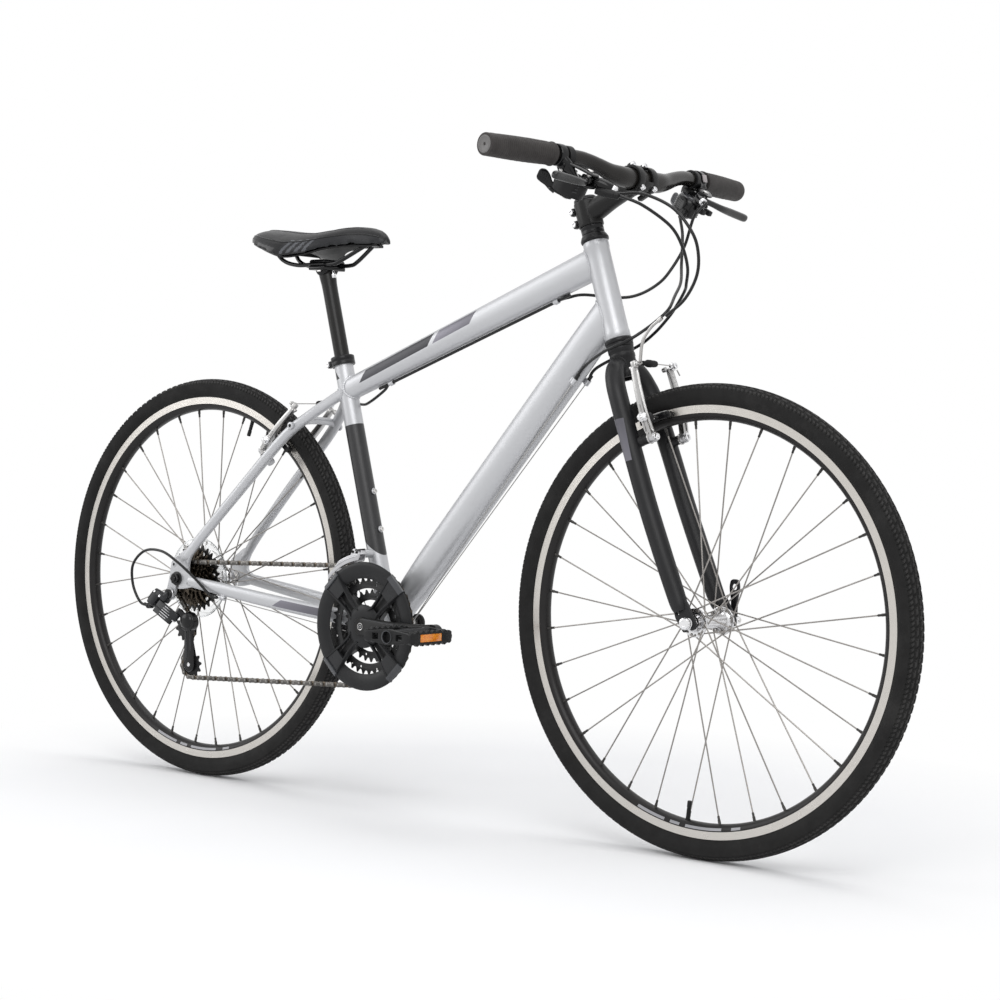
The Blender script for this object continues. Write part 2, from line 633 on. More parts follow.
class Piece:
    """Collects shapes, each with its material, into one object."""

    def __init__(self, name):
        self.name = name
        self.verts = []
        self.faces = []
        self.marks = []
        self.looks = []

    def add(self, verts, faces, look):
        if look not in self.looks:
            self.looks.append(look)
        start = len(self.verts)
        self.verts += [tuple(v) for v in verts]
        self.faces += [tuple(start + i for i in face) for face in faces]
        self.marks += [self.looks.index(look)] * len(faces)

    def take(self, mesh, look, matrix):
        """Adds a Blender mesh and removes it."""
        mesh.transform(matrix)
        self.add([v.co for v in mesh.vertices], [tuple(p.vertices) for p in mesh.polygons], look)
        bpy.data.meshes.remove(mesh)

    def rings(self, rings, look, closed=False):
        """A skin through rings of one length."""
        count = len(rings[0])
        verts = [p for ring in rings for p in ring]
        faces = []
        last = len(rings) if closed else len(rings) - 1
        for k in range(last):
            low = k * count
            high = ((k + 1) % len(rings)) * count
            faces += [(low + i, low + (i + 1) % count, high + (i + 1) % count, high + i)
                      for i in range(count)]
        if not closed:
            faces.append(tuple(range(count))[::-1])
            faces.append(tuple(range(len(verts) - count, len(verts))))
        self.add(verts, faces, look)

    def tube(self, points, radii, look, sides, closed=False, upright=None, flat=1.0):
        """A tube along points. upright keeps its width in one direction, flat is width over height."""
        points = [Vector(p) for p in points]
        if isinstance(radii, (int, float)):
            radii = [radii] * len(points)
        tangents = []
        for i in range(len(points)):
            before = points[i - 1] if closed or i else points[0]
            after = points[(i + 1) % len(points)] if closed or i < len(points) - 1 else points[-1]
            tangents.append((after - before).normalized())
        up = Vector(upright) if upright else (UP if abs(tangents[0].dot(UP)) < 0.9 else ACROSS)
        rings = []
        for point, tangent, radius in zip(points, tangents, radii):
            if upright:
                up = Vector(upright)
            up = (up - tangent * up.dot(tangent)).normalized()
            other = up.cross(tangent)
            rings.append([point + other * p[0] * radius + up * p[1] * radius * flat
                          for p in oval(2, 2, sides)])
        self.rings(rings, look, closed)

    def lathe(self, profile, centre, axis, look, steps, closed=False):
        """A turned shape from (radius, along) points; a closed profile makes a ring."""
        frame_of = placed(centre, axis, UP if abs(axis.normalized().dot(UP)) < 0.99 else ACROSS)
        verts, rows = [], []
        for radius, along in profile:
            if radius < 1e-6:
                rows.append([len(verts)] * steps)
                verts.append(frame_of @ Vector((0, 0, along)))
                continue
            rows.append(list(range(len(verts), len(verts) + steps)))
            for i in range(steps):
                angle = math.tau * i / steps
                verts.append(frame_of @ Vector((radius * math.cos(angle), radius * math.sin(angle), along)))
        pairs = list(zip(rows, rows[1:]))
        if closed:
            pairs.append((rows[-1], rows[0]))
        faces = []
        for low, high in pairs:
            for i in range(steps):
                j = (i + 1) % steps
                face = []
                for index in (low[i], low[j], high[j], high[i]):
                    if index not in face:
                        face.append(index)
                if len(face) > 2:
                    faces.append(tuple(face))
        if not closed:
            for row, flip in ((rows[0], True), (rows[-1], False)):
                if row[0] != row[-1]:
                    faces.append(tuple(row[::-1]) if flip else tuple(row))
        self.add(verts, faces, look)

    def slab(self, loops, thickness, matrix, look, bevel, steps=1):
        """A flat piece from 2D loops, the outline first and then its holes, with rounded edges."""
        curve = bpy.data.curves.new("slab", "CURVE")
        curve.dimensions = "2D"
        curve.fill_mode = "BOTH"
        curve.extrude = max(thickness / 2 - bevel, 0.00001)
        curve.bevel_depth = bevel
        curve.bevel_resolution = steps
        curve.offset = -bevel
        for loop in loops:
            spline = curve.splines.new("POLY")
            spline.points.add(len(loop) - 1)
            for point, (x, y) in zip(spline.points, loop):
                point.co = (x, y, 0, 1)
            spline.use_cyclic_u = True
        holder = bpy.data.objects.new("slab", curve)
        show(holder)
        graph = bpy.context.evaluated_depsgraph_get()
        mesh = bpy.data.meshes.new_from_object(holder.evaluated_get(graph))
        bpy.data.objects.remove(holder)
        bpy.data.curves.remove(curve)
        form = bmesh.new()
        form.from_mesh(mesh)
        bmesh.ops.remove_doubles(form, verts=form.verts, dist=0.000004)
        form.to_mesh(mesh)
        form.free()
        self.take(mesh, look, matrix)

    def block(self, centre, size, look, forward, upright, bevel, steps=2, taper=1.0):
        """A rounded box by its centre and its size along local x, y (upright) and z (forward)."""
        form = bmesh.new()
        bmesh.ops.create_cube(form, size=1.0)
        for vert in form.verts:
            if vert.co.z > 0:
                vert.co.x *= taper
                vert.co.y *= taper
        bmesh.ops.transform(form, matrix=Matrix.Diagonal((*size, 1)), verts=form.verts)
        if bevel:
            bmesh.ops.bevel(form, geom=form.edges, offset=bevel, segments=steps, affect="EDGES", profile=0.5)
        mesh = bpy.data.meshes.new("block")
        form.to_mesh(mesh)
        form.free()
        self.take(mesh, look, placed(centre, forward, upright))

    def socket_bolt(self, at, axis, radius, height, look, deep=0.6):
        """A cap screw's head, with its hexagon socket, sitting on a surface at a point."""
        axis = axis.normalized()
        recess = height * deep
        hexagon = circle(radius * 0.52, 6)
        self.slab([circle(radius, 28), hexagon], recess, placed(at + axis * (height - recess / 2), axis),
                  look, min(0.0004, radius * 0.12))
        base = height - recess
        self.lathe([(radius * 0.94, -0.0006), (radius, 0.0), (radius, base + 0.00002)], at, axis, look, 28)

    def hex_nut(self, at, axis, radius, height, look, bore=0.0):
        """A chamfered hexagon nut standing on a surface, with its stud end showing in a bore."""
        rim = radius * 0.90
        profile = [(bore, 0), (rim, 0), (radius, radius * 0.10), (radius, height - radius * 0.10),
                   (rim, height), (bore, height)]
        self.lathe(profile, at, axis, look, 6, closed=bool(bore))
        if bore:
            self.lathe([(bore * 0.97, 0.0002), (bore * 0.97, height + 0.0012), (bore * 0.7, height + 0.0018)],
                       at, axis, look, 20)

    def made(self, body, nodes, slot, crease=38):
        """Makes the object, gives it its body and says which nodes it stands for."""
        mesh = bpy.data.meshes.new(self.name)
        mesh.from_pydata(self.verts, [], self.faces)
        for look in self.looks:
            mesh.materials.append(M[look])
        mesh.polygons.foreach_set("material_index", self.marks)
        mesh.validate()
        form = bmesh.new()
        form.from_mesh(mesh)
        bmesh.ops.recalc_face_normals(form, faces=form.faces)
        form.to_mesh(mesh)
        form.free()
        mesh.shade_smooth()
        mesh.set_sharp_from_angle(angle=math.radians(crease))
        made = bpy.data.objects.new(self.name, mesh)
        show(made)
        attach(made, body)
        if nodes:
            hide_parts(*([nodes] if isinstance(nodes, str) else nodes))
        return made


# Wheels

TYRE_OUTER = 0.348
TYRE_HALF = 0.0185
RIM_OUTER = 0.3165
RIM_HALF = 0.012
TRACK_LOW = 0.3040
BED = 0.294
TREAD_BLOCKS = 150
TREAD_ARC = math.radians(63)
TREAD_ROUND = 0.0178
TREAD_DEPTH = 0.0019
SPOKE_HOLES = 0.0177
SPOKE_PHASE = math.radians(6.2)


def tread_height(turn, across):
    """How far the rubber stands, 0 in a groove to 1 on a block, by blocks round and share across."""
    side = abs(across)
    row = 0.5 if across > 0 else 0.0
    slant = (turn * (2 if side > 0.62 else 1) + row + side * 1.7) % 1.0
    groove = min(slant, 1 - slant)
    cut = 0.0 if groove < (0.16 if side < 0.62 else 0.21) else 1.0
    zigzag = 0.20 + 0.05 * math.cos(math.tau * turn)
    if abs(side - zigzag) < 0.035 or abs(side - 0.60) < 0.03:
        cut = 0.0
    if side < 0.15:
        cut = max(cut, 1.0 if groove > 0.07 else 0.25)
    return cut


def make_tyre(name, centre, body):
    """A tyre with cut tread blocks and a plain sidewall."""
    per_block = 10
    steps = TREAD_BLOCKS * per_block
    tread = []
    for i in range(25):
        across = -1 + 2 * i / 24
        angle = across * TREAD_ARC
        radius = TYRE_OUTER - TREAD_ROUND * (1 - math.cos(angle)) * 0.92
        tread.append((radius, TYRE_HALF * math.sin(angle) / math.sin(TREAD_ARC) * 0.985, across))
    wall = [(0.3315, 1.0), (0.3275, 0.975), (0.3232, 0.90), (0.3196, 0.78), (0.3170, 0.675), (0.3168, 0.60)]
    left = [(r, TYRE_HALF * share, None) for r, share in wall]
    right = [(r, -TYRE_HALF * share, None) for r, share in reversed(wall)]
    inner = [(0.3310, -0.0085, None), (0.3400, 0.0, None), (0.3310, 0.0085, None)]
    profile = right + tread + left + inner[::-1]
    count = len(profile)
    angles = np.arange(steps) * math.tau / steps
    radii = np.zeros((steps, count))
    for k, (radius, y, across) in enumerate(profile):
        radii[:, k] = radius
        if across is not None:
            stand = np.array([tread_height(i / per_block, across) for i in range(steps)])
            fade = 1.0 if abs(across) < 0.95 else 0.0
            radii[:, k] -= (1 - stand) * TREAD_DEPTH * fade
    ys = np.array([p[1] for p in profile])
    x = centre.x + radii * np.cos(angles)[:, None]
    z = centre.z + radii * np.sin(angles)[:, None]
    y = np.broadcast_to(ys, x.shape)
    verts = np.stack([x, y, z], -1).reshape(-1, 3).tolist()
    tyre = Piece(name + "_rubber")
    tyre.looks = ["tyre", "tread"]
    tyre.verts = verts
    for s in range(steps):
        low = s * count
        high = ((s + 1) % steps) * count
        tyre.faces += [(low + k, low + (k + 1) % count, high + (k + 1) % count, high + k)
                       for k in range(count)]
        for k in range(count):
            across = profile[k][2]
            raised = across is not None and abs(across) < 0.9 and tread_height(s / per_block, across) > 0.6
            tyre.marks.append(1 if raised else 0)
    tyre.made(body, name, "tyre_rubber", 32)


def make_rim(name, centre, body, track):
    """A double-wall rim: black section, machined brake tracks, printed blocks and the valve."""
    half = RIM_HALF
    profile = [(RIM_OUTER + 0.0012, half - 0.0002), (RIM_OUTER + 0.0014, half - 0.0012),
               (RIM_OUTER - 0.0004, half - 0.0022), (0.3110, half - 0.0026), (0.3085, half - 0.0050),
               (0.3080, 0.0), (0.3085, -half + 0.0050), (0.3110, -half + 0.0026),
               (RIM_OUTER - 0.0004, -half + 0.0022), (RIM_OUTER + 0.0014, -half + 0.0012),
               (RIM_OUTER + 0.0012, -half + 0.0002), (RIM_OUTER, -half), (RIM_OUTER - 0.0003, -half + 0.0004),
               (TRACK_LOW + 0.0003, -half + 0.0004), (TRACK_LOW, -half), (TRACK_LOW - 0.0012, -half + 0.0001),
               (0.2985, -half * 0.83), (0.2955, -half * 0.55), (BED, -half * 0.26), (BED - 0.0002, 0.0),
               (BED, half * 0.26), (0.2955, half * 0.55), (0.2985, half * 0.83),
               (TRACK_LOW - 0.0012, half - 0.0001), (TRACK_LOW, half), (TRACK_LOW + 0.0003, half - 0.0004),
               (RIM_OUTER - 0.0003, half - 0.0004), (RIM_OUTER, half)]
    rim = Piece(name + "_section")
    rim.lathe(profile, centre, ACROSS, "rim", 192, closed=True)
    for side in (-1, 1):
        face = side * half
        low, high = TRACK_LOW + 0.0005, RIM_OUTER - 0.0005
        ring = [(low, face - side * 0.0007), (low, face)]
        for k in range(6):
            at = low + (high - low) * (k + 0.5) / 6
            ring += [(at - 0.0002, face), (at, face - side * 0.00006), (at + 0.0002, face)]
        ring += [(high, face), (high, face - side * 0.0007)]
        rim.lathe(ring, centre, ACROSS, track, 192, closed=True)
        # printed blocks low on the spoke face, two long and two short
        for start, sweep in ((-111.0, 9.5), (-99.5, 3.2), (-94.3, 12.0), (-79.0, 3.0)):
            run = []
            for k in range(11):
                angle = math.radians(start + sweep * k / 10)
                ray = ray_at(angle)
                run.append([centre + ray * 0.3028 + ACROSS * side * (half + 0.00002),
                            centre + ray * 0.2990 + ACROSS * side * (half * 0.855 + 0.0001),
                            centre + ray * 0.2990 + ACROSS * side * (half * 0.80),
                            centre + ray * 0.3028 + ACROSS * side * (half - 0.0009)])
            rim.rings(run, "rim_block")
    # valve
    angle = math.radians(-95.0 if body == "front_wheel" else 70.0)
    ray = ray_at(angle)
    rim.lathe(mm((0, -5), (4.1, -5), (4.1, 0.8), (3.3, 1.2), (3, 16), (2.7, 19)), centre + ray * BED,
              -ray, "boot", 20)
    rim.lathe(mm((2.7, 18), (3.4, 18.5), (3.4, 26.5), (2.8, 27.8), (0, 27.8)), centre + ray * BED, -ray,
              "plastic", 18)
    rim.made(body, name, "black_alloy", 30)


def make_spokes(node, centre, body, side, flange, phase):
    """Sixteen round spokes with their bends in the flange and nipples in the rim."""
    spokes = Piece(node + "_wire")
    step = math.tau / 16
    for i in range(16):
        outer = phase + step * i
        way = 1 if i % 2 else -1
        inner = outer + 3 * step * way
        hole = ray_at(inner) * SPOKE_HOLES
        # elbows alternate between the flange's two faces
        face = 0.0028 * way
        level = side * (flange + face)
        start = centre + hole + ACROSS * level
        head = centre + hole + ACROSS * side * (flange - face * 0.9)
        ray = ray_at(outer)
        end = centre + ray * BED + ACROSS * side * 0.0022
        run = (end - start).normalized()
        nipple = end - run * 0.0125
        bend = start - ACROSS * side * face * 0.30 + (start - (centre + ACROSS * level)).normalized() * 0.0002
        near = start + run * 0.0022
        middle = start.lerp(end, 0.42) - ACROSS * side * way * 0.0008
        spokes.tube([head, bend, near, start.lerp(end, 0.06), middle, nipple + run * 0.002],
                    0.00112, "spoke", 8)
        spokes.lathe(mm((2.1, -0.8), (2.1, 0), (1, 0.4)), head, head - bend, "spoke", 10)
        spokes.lathe(mm((1.2, 0), (1.8, 0.6), (1.8, 5.8), (2.2, 6.4), (2.2, 12.2), (2.8, 12.8), (2.8, 14.8)),
                     nipple, run, "nipple", 12)
    spokes.made(body, node, "stainless", 50)


def ring_of_holes(count, radius, size, phase, sides=12):
    holes = []
    for i in range(count):
        angle = phase + math.tau * i / count
        holes.append(circle(size, sides, (radius * math.cos(angle), radius * math.sin(angle))))
    return holes


def make_flange(piece, centre, y):
    """A spoke flange with its holes, flared into the barrel."""
    at = centre + ACROSS * y
    holes = ring_of_holes(16, SPOKE_HOLES, 0.00135, SPOKE_PHASE)
    loops = [circle(0.0212, 72)] + holes + [circle(0.0098, 32)]
    piece.slab(loops, 0.0030, side_plane(at), "alloy", 0.0005, 2)


def make_front_hub():
    hub = Piece("front_hub_shell")
    for side in (-1, 1):
        make_flange(hub, FRONT_AXLE, side * 0.035)
        hub.lathe(mm((11.8, 1.2), (13.2, 3), (12.8, 4.2), (12.2, 8.2), (9, 8.5), (6.2, 8.5)),
                  FRONT_AXLE + ACROSS * side * 0.0350, ACROSS * side, "alloy", 40)
    hub.lathe(mm((11.8, -35.2), (16.5, -33.8), (13.3, -31.2), (11.2, -27), (10, -18), (9.8, 0), (10, 18),
                 (11.2, 27), (13.3, 31.2), (16.5, 33.8), (11.8, 35.2)), FRONT_AXLE, ACROSS, "alloy", 48)
    hub.made("front_wheel", "front_hub", "bright_alloy")


def make_rear_hub():
    hub = Piece("rear_hub_shell")
    make_flange(hub, REAR_AXLE, 0.034)
    make_flange(hub, REAR_AXLE, -0.0205)
    hub.lathe(mm((12.5, -21.5), (17, -19), (14, -16.5), (12.8, -12), (12.4, 6), (12.8, 24), (14.5, 29.2),
                 (17.2, 32.2), (14.2, 35.2), (13.4, 38.5), (12.8, 47), (11.2, 50), (8.5, 55.2), (6, 56)),
              REAR_AXLE, ACROSS, "alloy", 48)
    hub.made("rear_wheel", "rear_hub", "bright_alloy")


def make_spoke_protector():
    disc = Piece("clear_spoke_guard")
    holes = []
    for i in range(8):
        mid = math.tau * i / 8
        outer = arc(0.058, mid - 0.26, mid + 0.26, 8)
        inner = arc(0.036, mid + 0.20, mid - 0.20, 6)
        holes.append(rounded(outer + inner, 0.003, 3))
    at = REAR_AXLE - ACROSS * 0.0232
    disc.slab([circle(0.0698, 96)] + holes + [circle(0.0156, 40)], 0.0012, side_plane(at), "clear", 0.0003)
    disc.lathe(mm((67.2, -0.4), (69.9, -0.4), (69.9, 1.2), (69, 1.4)), at, -ACROSS, "clear", 96, closed=True)
    disc.made("rear_wheel", "spoke_protector", "clear_plastic")


make_tyre("front_tyre", FRONT_AXLE, "front_wheel")
make_tyre("rear_tyre", REAR_AXLE, "rear_wheel")
make_rim("front_rim", FRONT_AXLE, "front_wheel", "front_track")
make_rim("rear_rim", REAR_AXLE, "rear_wheel", "rear_track")
for word, wheel, left, right in (("front", FRONT_AXLE, 0.035, 0.035), ("rear", REAR_AXLE, 0.034, 0.0205)):
    make_spokes(word + "_spokes_right", wheel, word + "_wheel", -1, right, SPOKE_PHASE)
    make_spokes(word + "_spokes_left", wheel, word + "_wheel", 1, left, SPOKE_PHASE + math.pi / 16)
make_front_hub()
make_rear_hub()
make_spoke_protector()

# Frame


def oval_rings(stations, sides, power, steps=5):
    """Rings along (centre, height, width) stations, smoothed, with the width kept across the bike."""
    run = smooth([(*centre, height, width) for centre, height, width in stations], steps)
    centres = [Vector(p[:3]) for p in run]
    rings = []
    for i, p in enumerate(run):
        ahead = centres[min(i + 1, len(run) - 1)] - centres[max(i - 1, 0)]
        matrix = placed(centres[i], ahead)
        rings.append([matrix @ Vector(q) for q in oval(p[3], p[4], sides, power)])
    return rings


def round_rings(start, end, radius):
    return oval_rings([(start.lerp(end, i / 7), radius * 2, radius * 2) for i in range(8)], 28, 1.0, 1)


def solid_of(*skins):
    """A ray target made from skins of rings."""
    trial = Piece("target")
    for rings in skins:
        trial.rings(rings, "frame")
    return BVHTree.FromPolygons([Vector(v) for v in trial.verts], trial.faces)


def even_run(points, spacing):
    """Evenly spaced points round a closed run."""
    points = curve_of(points, 4, True)
    points.append(points[0])
    lengths = [0.0]
    for one, two in zip(points, points[1:]):
        lengths.append(lengths[-1] + (two - one).length)
    count = max(24, int(lengths[-1] / spacing))
    at = np.linspace(0, lengths[-1], count, endpoint=False)
    columns = [np.interp(at, lengths, [p[k] for p in points]) for k in range(3)]
    return [Vector(p) for p in zip(*columns)]


def weld(piece, rings, target, look="frame", size=0.0023):
    """A rippled bead where the lines of a tube's skin first meet a target."""
    hits = []
    for i in range(len(rings[0])):
        for one, two in zip(rings, rings[1:]):
            step = Vector(two[i]) - Vector(one[i])
            found = target.ray_cast(Vector(one[i]), step.normalized(), step.length * 1.001)[0]
            if found is not None:
                hits.append(found)
                break
    if len(hits) < 6:
        return
    bead = 0.0034
    route = even_run(hits, bead / 6)
    beads = max(4, round(len(route) / 6))
    radii = [size * (0.86 + 0.20 * abs(math.sin(math.pi * beads * i / len(route))))
             for i in range(len(route))]
    piece.tube(route, radii, look, 8, closed=True)


DROPOUT_Y = 0.071
AXLE_SLOT = 0.0053


def dropout_outline(side):
    """The rear dropout's edge round its slot, the stays' seats, the eyelets and the hanger."""
    roof = arc(AXLE_SLOT, math.pi, 0, 9)
    front = [(AXLE_SLOT, -0.018), (0.016, -0.0172), (0.040, -0.012), (0.0385, 0.004), (0.0245, 0.0125)]
    top = [(0.0262, 0.030), (0.0355, 0.0475), (0.0180, 0.0515), (-0.0065, 0.0350), (-0.0155, 0.0290),
           (-0.0175, 0.0165)]
    if side < 0:
        back = [(-0.0195, 0.002), (-0.0260, -0.0200), (-0.0250, -0.0350), (-0.0130, -0.0390),
                (-0.0065, -0.0250), (-AXLE_SLOT, -0.018)]
    else:
        back = [(-0.0165, 0.000), (-0.0135, -0.0130), (-AXLE_SLOT, -0.018)]
    soft = rounded(front + top + back, [0.002] + [0.004] * (len(front + top + back) - 2) + [0.002], 4)
    return roof + soft


def make_frame():
    body = Piece("welded_frame")
    look = "frame"
    # head tube with its turned ends
    low, high = HEAD_LOW, HEAD_HIGH
    length = high - low
    profile = [(0.0168, 0), (0.0192, 0), (0.0197, 0.0006), (0.0197, 0.0105), (0.0190, 0.0125), (0.0189, 0.03),
               (0.0189, length - 0.03), (0.0190, length - 0.0125), (0.0197, length - 0.0105),
               (0.0197, length - 0.0006), (0.0192, length), (0.0168, length)]
    body.lathe(profile, on_steer(low), STEER_DIR, look, 56, closed=True)
    head = round_rings(on_steer(low), on_steer(high), 0.0189)
    seat = round_rings(BB, on_seat(0.4522), 0.0158)
    shell_half = ACROSS * 0.0338
    shell = round_rings(BB - shell_half, BB + shell_half, 0.0213)
    body.rings(round_rings(BB, on_seat(0.34), 0.0158), look)
    body.lathe(mm((13.7, 335), (15.8, 335), (15.8, 450), (15.5, 452.5), (13.7, 452.5)), BB, SEAT_DIR, look,
               40, closed=True)
    body.lathe(band(17.2, 21.3, -33.8, 33.8, 0.7, 0.8), BB, ACROSS, look, 48, closed=True)
    # main tubes
    down = oval_rings([(BB, 0.040, 0.043), (on_down(0.06), 0.047, 0.044), (on_down(0.15), 0.0555, 0.044),
                       (on_down(0.34), 0.0560, 0.044), (on_down(0.50), 0.0560, 0.0435),
                       (HEAD_JOIN - DOWN_LINE * 0.075, 0.0560, 0.0415),
                       (HEAD_JOIN - DOWN_LINE * 0.030, 0.0560, 0.0355), (HEAD_JOIN, 0.0550, 0.0345)], 36,
                      0.86)
    body.rings(down, look)
    sizes = ((0.0, 0.0365, 0.0300), (0.10, 0.0380, 0.0318), (0.5, 0.0430, 0.034), (0.93, 0.0483, 0.0335),
             (1.0, 0.0490, 0.0320))
    top = oval_rings([(TOP_REAR.lerp(TOP_FRONT, share), tall, wide) for share, tall, wide in sizes], 36, 0.82)
    body.rings(top, look)
    head_solid, seat_solid, shell_solid = solid_of(head), solid_of(seat), solid_of(shell)
    weld(body, down[8:], head_solid)
    weld(body, top[8:], head_solid)
    weld(body, top[:12][::-1], seat_solid)
    weld(body, down[:14][::-1], shell_solid)
    weld(body, seat[::-1], shell_solid, size=0.0021)
    low_solid = solid_of(shell, down)
    weld(body, seat[::-1], solid_of(down), size=0.0020)
    # stays
    span = (SEAT_CLUSTER - REAR_AXLE).length
    for side in (-1, 1):
        stations = [(on_chainstay(0.01, side * 0.0240), 0.0240, 0.0155)]
        for share, y, height, width in ((0.14, 0.0305, 0.0258, 0.0150), (0.27, 0.0425, 0.0249, 0.0150),
                                        (0.45, 0.0555, 0.0238, 0.0150), (0.62, 0.0620, 0.0228, 0.0145),
                                        (0.78, 0.0668, 0.0212, 0.0133), (0.90, 0.0702, 0.0196, 0.0122)):
            stations.append((on_chainstay(share, side * y), height, width))
        stations.append((on_chainstay(0.935, side * DROPOUT_Y), 0.0180, 0.0112))
        stay = oval_rings(stations, 24, 0.94)
        body.rings(stay, look)
        weld(body, stay[:12][::-1], low_solid, size=0.0020)
        foot = on_stay(0.030, 0.0135, side * DROPOUT_Y)
        stations = [(foot, 0.0155, 0.0112), (on_stay(0.050, 0.0142, side * 0.0712), 0.0176, 0.0122)]
        for share, above, y, width in ((0.20, 0.0165, 0.0672, 0.0146), (0.45, 0.0175, 0.0592, 0.0178),
                                       (0.74, 0.0160, 0.0520, 0.0180), (0.87, 0.0115, 0.0345, 0.0180),
                                       (0.94, 0.0085, 0.0200, 0.0176), (1.0, 0.0060, 0.0075, 0.0168)):
            stations.append((on_stay(span * share, above, side * y), 0.0178, width))
        upper = oval_rings(stations, 24, 1.0)
        body.rings(upper, look)
        weld(body, upper[22:], seat_solid, size=0.0019)
        # dropout plate with its eyelets and, on the chain side, the hanger
        centre = REAR_AXLE + ACROSS * side * DROPOUT_Y
        holes = [circle(0.0026, 14, (-0.0085, 0.0240)), circle(0.0026, 14, (0.0275, -0.0065))]
        if side < 0:
            holes.append(circle(0.0045, 18, (-0.015, -0.028)))
        body.slab([dropout_outline(side)] + holes, 0.0070, side_plane(centre), look, 0.0008, 2)
        eyelet = on_stay(span * 0.80, 0.0150, side * 0.0560)
        body.lathe(mm((0, 0), (5.8, 0), (6.2, 0.6), (6.2, 4.4), (5.5, 5), (3, 5), (3, 1.2), (0, 1.2)), eyelet,
                   ACROSS * side, look, 24)
        body.lathe(rod(2.9, 1.2, 4), eyelet, ACROSS * side, "gloss", 20)
        for x, z in ((-0.0085, 0.0240), (0.0275, -0.0065)):
            at = centre + Vector((x, 0, z))
            body.lathe(rod(2.6, -3.6, 3.6), at, ACROSS, "gloss", 16)
            body.lathe(band(2.6, 5, -4.1, 4.1, 0.4, 0.5), at, ACROSS, look, 20, closed=True)
        # brake boss, its web to the stay, and the bolt that holds the arm
        pivot = on_stay(ARM_PIVOT, 0, side * STUD_OUT)
        face = pivot + STAY_NORMAL * 0.0347
        body.tube([on_stay(ARM_PIVOT, 0.0175, side * 0.0555), on_stay(ARM_PIVOT, 0.0195, side * 0.047),
                   pivot + STAY_NORMAL * 0.021], [0.0072, 0.0064, 0.0060], look, 16)
        body.lathe(mm((6.8, 13), (7, 14), (7, 34), (6.6, 34.7)), pivot, STAY_NORMAL, look, 24)
        body.lathe(mm((4, 33), (4, 46.5)), pivot, STAY_NORMAL, "stainless", 16)
        body.socket_bolt(face + STAY_NORMAL * 0.0106, STAY_NORMAL, 0.0062, 0.0034, "chrome")
    # bridges
    arch = [on_stay(span * 0.82, 0.0130 + rise, y) for y, rise in ((-0.0425, -0.001), (-0.030, 0.0045),
                                                                   (-0.012, 0.0065), (0.012, 0.0065),
                                                                   (0.030, 0.0045), (0.0425, -0.001))]
    body.tube(curve_of(arch, 4), 0.0063, look, 16)
    bridge = on_chainstay(0.125)
    body.tube([bridge - ACROSS * 0.030, bridge + ACROSS * 0.030], 0.0063, look, 16)
    # bottle bosses with their screws
    for reach in (0.156, 0.220):
        foot = on_seat(reach, 0.0150)
        body.lathe(mm((5.5, -4), (5.5, 3), (4.9, 3.7), (0, 3.7)), foot, SEAT_AHEAD, look, 24)
        body.socket_bolt(foot + SEAT_AHEAD * 0.0036, SEAT_AHEAD, 0.0040, 0.0024, "stainless", 0.5)
    # front derailleur boss: a clamp's round housing on the seat tube
    boss = CHANGER_BOSS
    body.lathe(mm((5.1, -4), (6.8, -4), (6.8, 32), (6.3, 33), (5.1, 33)), boss, -ACROSS, look,
               28, closed=True)
    # cable clips under the top tube, and stops on the down tube and the chainstay
    for share in CLIP_SHARES:
        make_open_clip(body, under_top(share), TOP_UP, look)
    for side in (-1, 1):
        make_stop(body, on_down(down_reach(), -0.0292, side * 0.0165), DOWN_LINE, DOWN_NORMAL, look)
    make_stop(body, REAR_STOP, CHAIN_LINE, CHAIN_UP, look)
    body.made("frame", "main_frame", "frame_paint", 42)


def down_reach():
    return (HEAD_JOIN - BB).length * 0.8233


def make_open_clip(body, centre, up, look):
    """A housing guide: a short cradle with a foot to the tube."""
    ring = degree_arc(0.0045, -60, 240, 16) + degree_arc(0.0029, 240, -60, 16)
    matrix = axes_at(centre, ACROSS, up, ACROSS.cross(up))
    body.slab([ring], 0.0095, matrix, look, 0.0004)
    body.block(centre + up * 0.0052, (0.0090, 0.0044, 0.0042), look, up, ACROSS, 0.0008)


def make_stop(body, centre, along, up, look):
    """A slotted housing stop: a thick-walled cup welded to the tube."""
    body.lathe(mm((1.4, -5), (3.6, -5), (4.2, -4.4), (4.4, 4.4), (4.1, 5), (2.9, 5), (2.9, -3), (1.4, -3)),
               centre, along, look, 24, closed=True)
    body.block(centre + up * 0.0044, (0.0095, 0.0060, 0.0052), look, up, ACROSS, 0.0010)


def make_seat_clamp():
    """The seat collar: a band with ears behind and a bolt across them."""
    clamp = Piece("seat_collar")
    base = 0.439
    clamp.lathe(mm((16.3, 0), (19.2, 0), (19.9, 0.7), (19.9, 6), (19.4, 6.8), (19.9, 7.6), (19.9, 14),
                   (19.3, 14.8), (16.3, 14.8)), on_seat(base), SEAT_DIR, "anodised", 48, closed=True)
    for side in (-1, 1):
        clamp.block(on_seat(base + 0.0073, -0.0222, side * 0.0058), (0.0110, 0.0086, 0.0112), "anodised",
                    SEAT_DIR, ACROSS, 0.0016)
    at = on_seat(base + 0.0073, -0.0240)
    clamp.lathe(mm((2.5, -12.5), (2.5, 12.5)), at, ACROSS, "stainless", 14)
    clamp.socket_bolt(at - ACROSS * 0.0101, -ACROSS, 0.0042, 0.0042, "chrome")
    clamp.hex_nut(at + ACROSS * 0.0101, ACROSS, 0.0042, 0.0036, "stainless", 0.0024)
    clamp.made("frame", "seat_clamp", "black_alloy")


